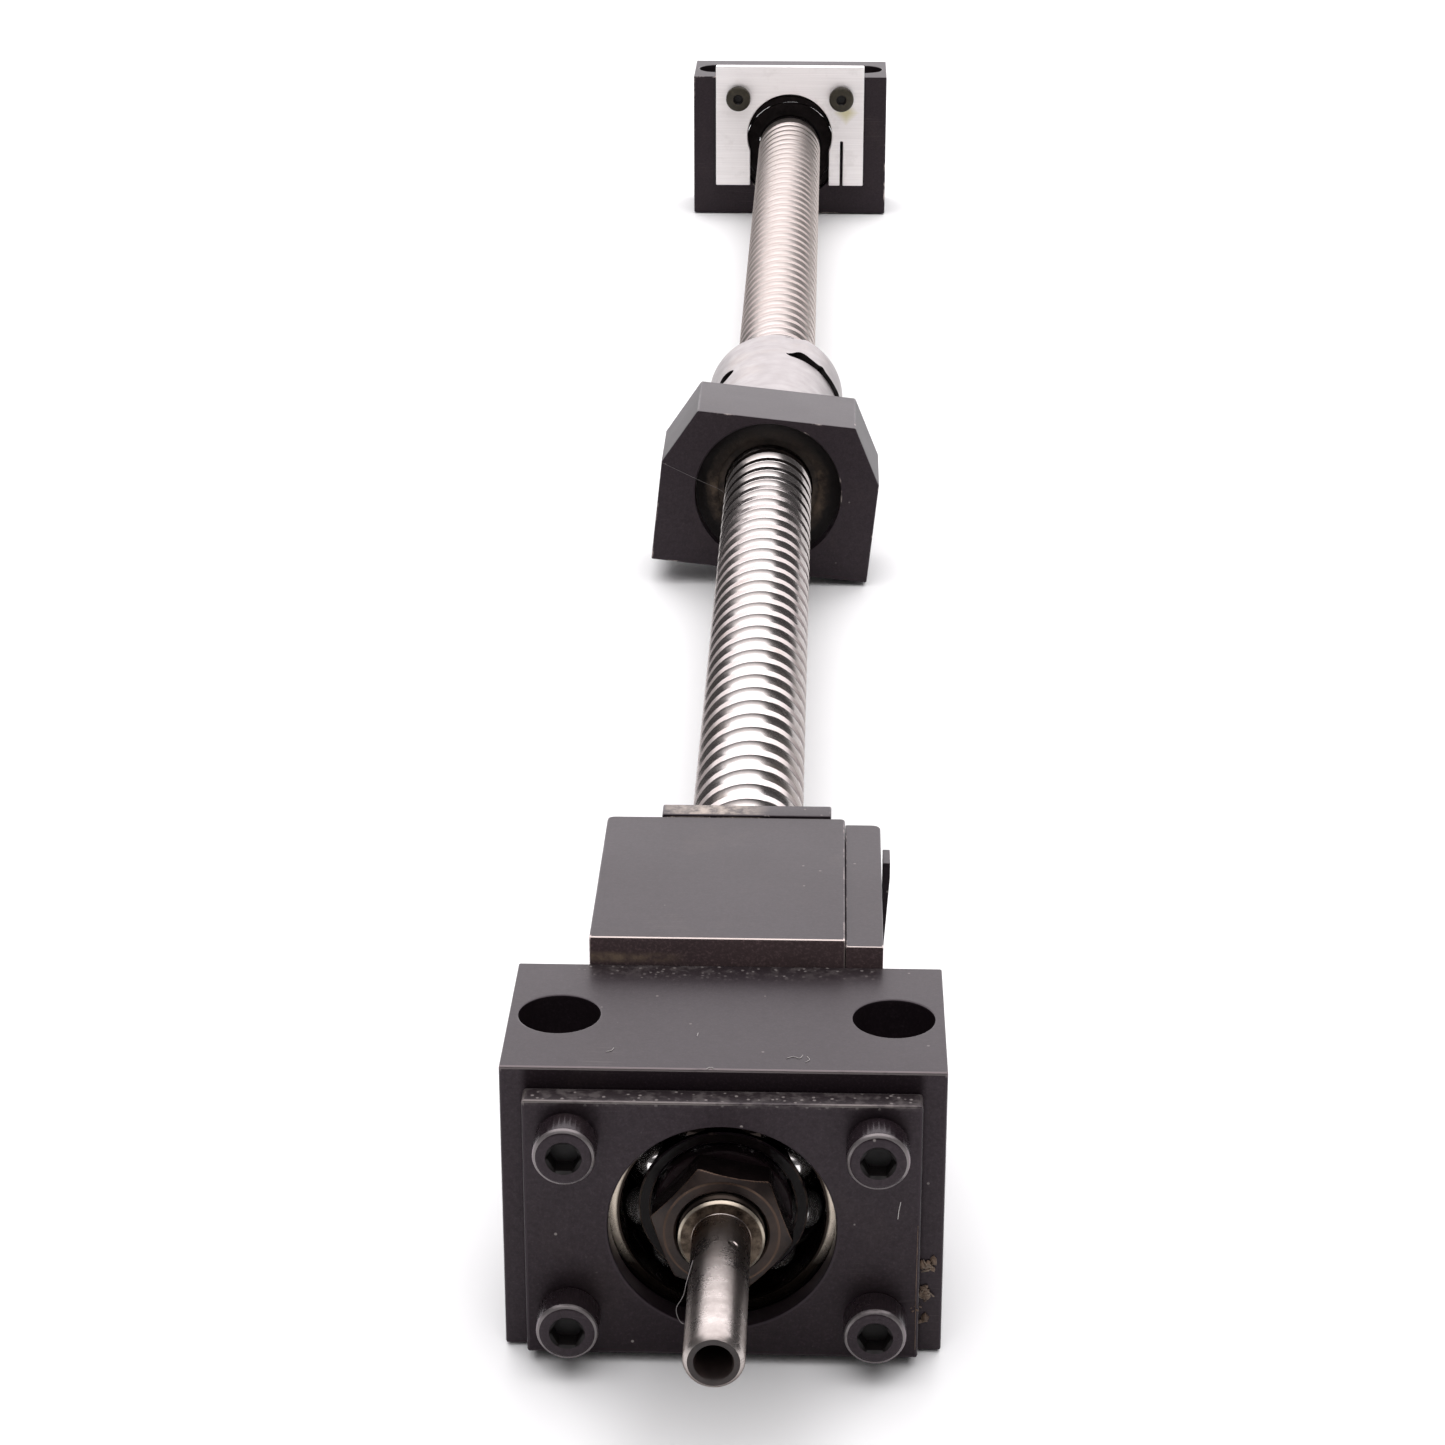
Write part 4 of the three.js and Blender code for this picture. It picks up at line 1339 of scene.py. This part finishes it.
def tangle(name, centre, size, count, seed, key, body, slot):
    """Short fibres crossing at random round a point on a front face."""
    rng = random.Random(seed)
    strands = []
    for _ in range(count):
        turn = rng.uniform(-0.9, 0.9)
        half = size * rng.uniform(0.35, 1.0)
        bow = size * rng.uniform(-0.35, 0.35)
        x, z = (rng.gauss(c, size * 0.3) for c in (centre[0], centre[2]))
        waypoints = []
        for u in (-1, -0.3, 0.4, 1):
            along, aside = u * half, (1 - u * u) * bow
            waypoints.append((
                x + along * math.cos(turn) - aside * math.sin(turn),
                centre[1] - 0.1 * (1 - u * u),
                z + along * math.sin(turn) + aside * math.cos(turn),
            ))
        strands.append(strand("strand", waypoints, rng.uniform(0.05, 0.11), key))
    place(joined(name, strands, key), body, slot)


def crumbs(name, spots, spread, size, seed, key, body, slot):
    """Irregular lumps clustered round some spots, each given as a count and a point."""
    rng = random.Random(seed)
    lumps = []
    for count, centre in spots:
        for _ in range(count):
            x, y, z = (rng.gauss(c, width) for c, width in zip(centre, spread))
            phase = rng.uniform(0, math.tau)

            def lumpy(ring, start=phase):
                return lambda a: ring * (1 + 0.3 * math.sin(2 * a + start) + 0.15 * math.sin(5 * a))

            profile = [(lumpy(r), y + 0.6 * h) for r, h in ball_points(size * rng.uniform(0.3, 1.0), 7)]
            lumps.append(turned("lump", profile, sides=12, x=x, z=z))
    place(joined(name, lumps, key), body, slot)


def dirt():
    top = HOUSING_HEIGHT + 0.04
    on_support = ("support", "black_oxide")
    loop = [
        (-3.4, -16.5, 23.6), (-4.05, -20, 22.6), (-4.5, -21, 21.0), (-5.35, -22, 19.7),
        (-5.0, -22, 18.0), (-4.3, -22, 17.4), (-3.5, -21.5, 17.9),
    ]
    fibre("hair_on_drive_end", loop, 0.045, "hair", "screw", "screw_steel")
    across = [(-23.3, 309.9, 28.0), (-15, 309.85, 24.0), (-10.6, 309.7, 22.0), (-8.6, 309.6, 20.3)]
    fibre("hair_on_bracket", across, 0.03, "hair", "ball_nut", "black_oxide")
    curls = [
        [(8.4, 2.0), (9.3, 2.5), (10.2, 2.1), (10.6, 3.0)],
        [(11.0, 1.0), (11.5, 1.7), (11.2, 2.6)],
        [(-2.2, -1.3), (-1.7, -0.9), (-1.2, -1.2)],
        [(-3.8, 8.1), (-3.7, 9.0)],
        [(-15.9, 3.2), (-15.2, 3.5), (-14.9, 4.3)],
    ]
    for i, curl in enumerate(curls, 1):
        fibre(f"lint_{i}", [(x, y + 1.5, top) for x, y in curl], 0.045, "lint", *on_support)
    scratch = [(23.95, -4.01, 25.6), (23.75, -4.01, 24.4), (23.6, -4.01, 23.0)]
    fibre("scratch_on_cover", scratch, 0.06, "lint", *on_support)
    rubbed = [(26.33, -4.0, 22.0), (26.27, -4.0, 12.0), (26.32, -4.0, 2.6)]
    fibre("scratch_along_edge", rubbed, 0.05, "debris", *on_support)
    tangle("tangle_high", (27.7, -0.3, 13.2), 0.8, 8, 3, "wisp", *on_support)
    tangle("tangle_low", (27.3, -0.3, 9.0), 1.1, 14, 12, "wisp", *on_support)
    heaps = [(10, (27.6, -0.15, 13.4)), (12, (27.4, -0.15, 9.3)), (4, (27.2, -0.15, 5.2))]
    crumbs("debris_on_housing", heaps, (0.45, 0.05, 0.4), 0.6, 5, "debris", *on_support)
    crumbs("debris_on_cover", [(6, (26.0, -4.03, 8.8))], (0.3, 0.02, 0.6), 0.2, 8, "debris", *on_support)
    low, high = corners("stop_plate")
    streaks = [(7, (low.x + 2 + 3 * k, low.y, high.z - 0.6)) for k in range(5)]
    crumbs("dried_grease", streaks, (0.9, 0.05, 0.05), 0.22, 11, "dried", "support", "grey_oxide")


# Camera, floor and light


def camera():
    """The photo's camera, as fitted to points measured in the photo."""
    data = bpy.data.cameras.new("camera")
    data.sensor_width = 36.0
    data.lens = 85.06
    data.clip_start, data.clip_end = 0.05, 30
    cam = linked("camera", data)
    cam.location = (0.012886, -0.419258, 0.257414)
    forward = Vector((-0.02968, 0.92565, -0.37722))
    cam.rotation_euler = forward.to_track_quat("-Z", "Y").to_euler()
    bpy.context.scene.camera = cam


def floor():
    mesh = bpy.data.meshes.new("floor")
    size = 9.0
    level = -0.0004
    square = [(-size, -size, level), (size, -size, level), (size, size, level), (-size, size, level)]
    mesh.from_pydata(square, [], [(0, 1, 2, 3)])
    mesh.materials.append(floor_white())
    linked("floor", mesh)


def studio():
    """A white tent open at the sides: bright overhead and behind, dark to the left, right and front."""
    t = Tree("tent", world=True)
    x, y, z = t.split()
    height = t.plus(z, t.times(t.most(y, 0.0), 0.6))
    height = t.plus(height, t.times(t.maths("MINIMUM", y, 0.0), 0.25))
    aside = t.most(t.minus(t.absolute(x), 0.4), 0.0)
    height = t.minus(height, t.times(aside, 2.6))
    strength = t.ranged(height, 0.22, 0.58, 0.1, 2.4)
    bpy.context.scene.world = t.finished(Strength=strength, Color=(1.0, 0.965, 0.985, 1.0))
    bpy.context.scene.view_settings.view_transform = "Standard"


camera()
floor()
studio()
front_housing()
front_cover()
bearings()
screw_shaft()
lock_nut()
collar_and_circlip()
stop_block()
stop_side_strip()
side_flag()
stop_plate()
nut_bracket()
nut_nose_grease()
ball_nut_body()
return_guide()
rear_housing()
rear_plate()
dirt()
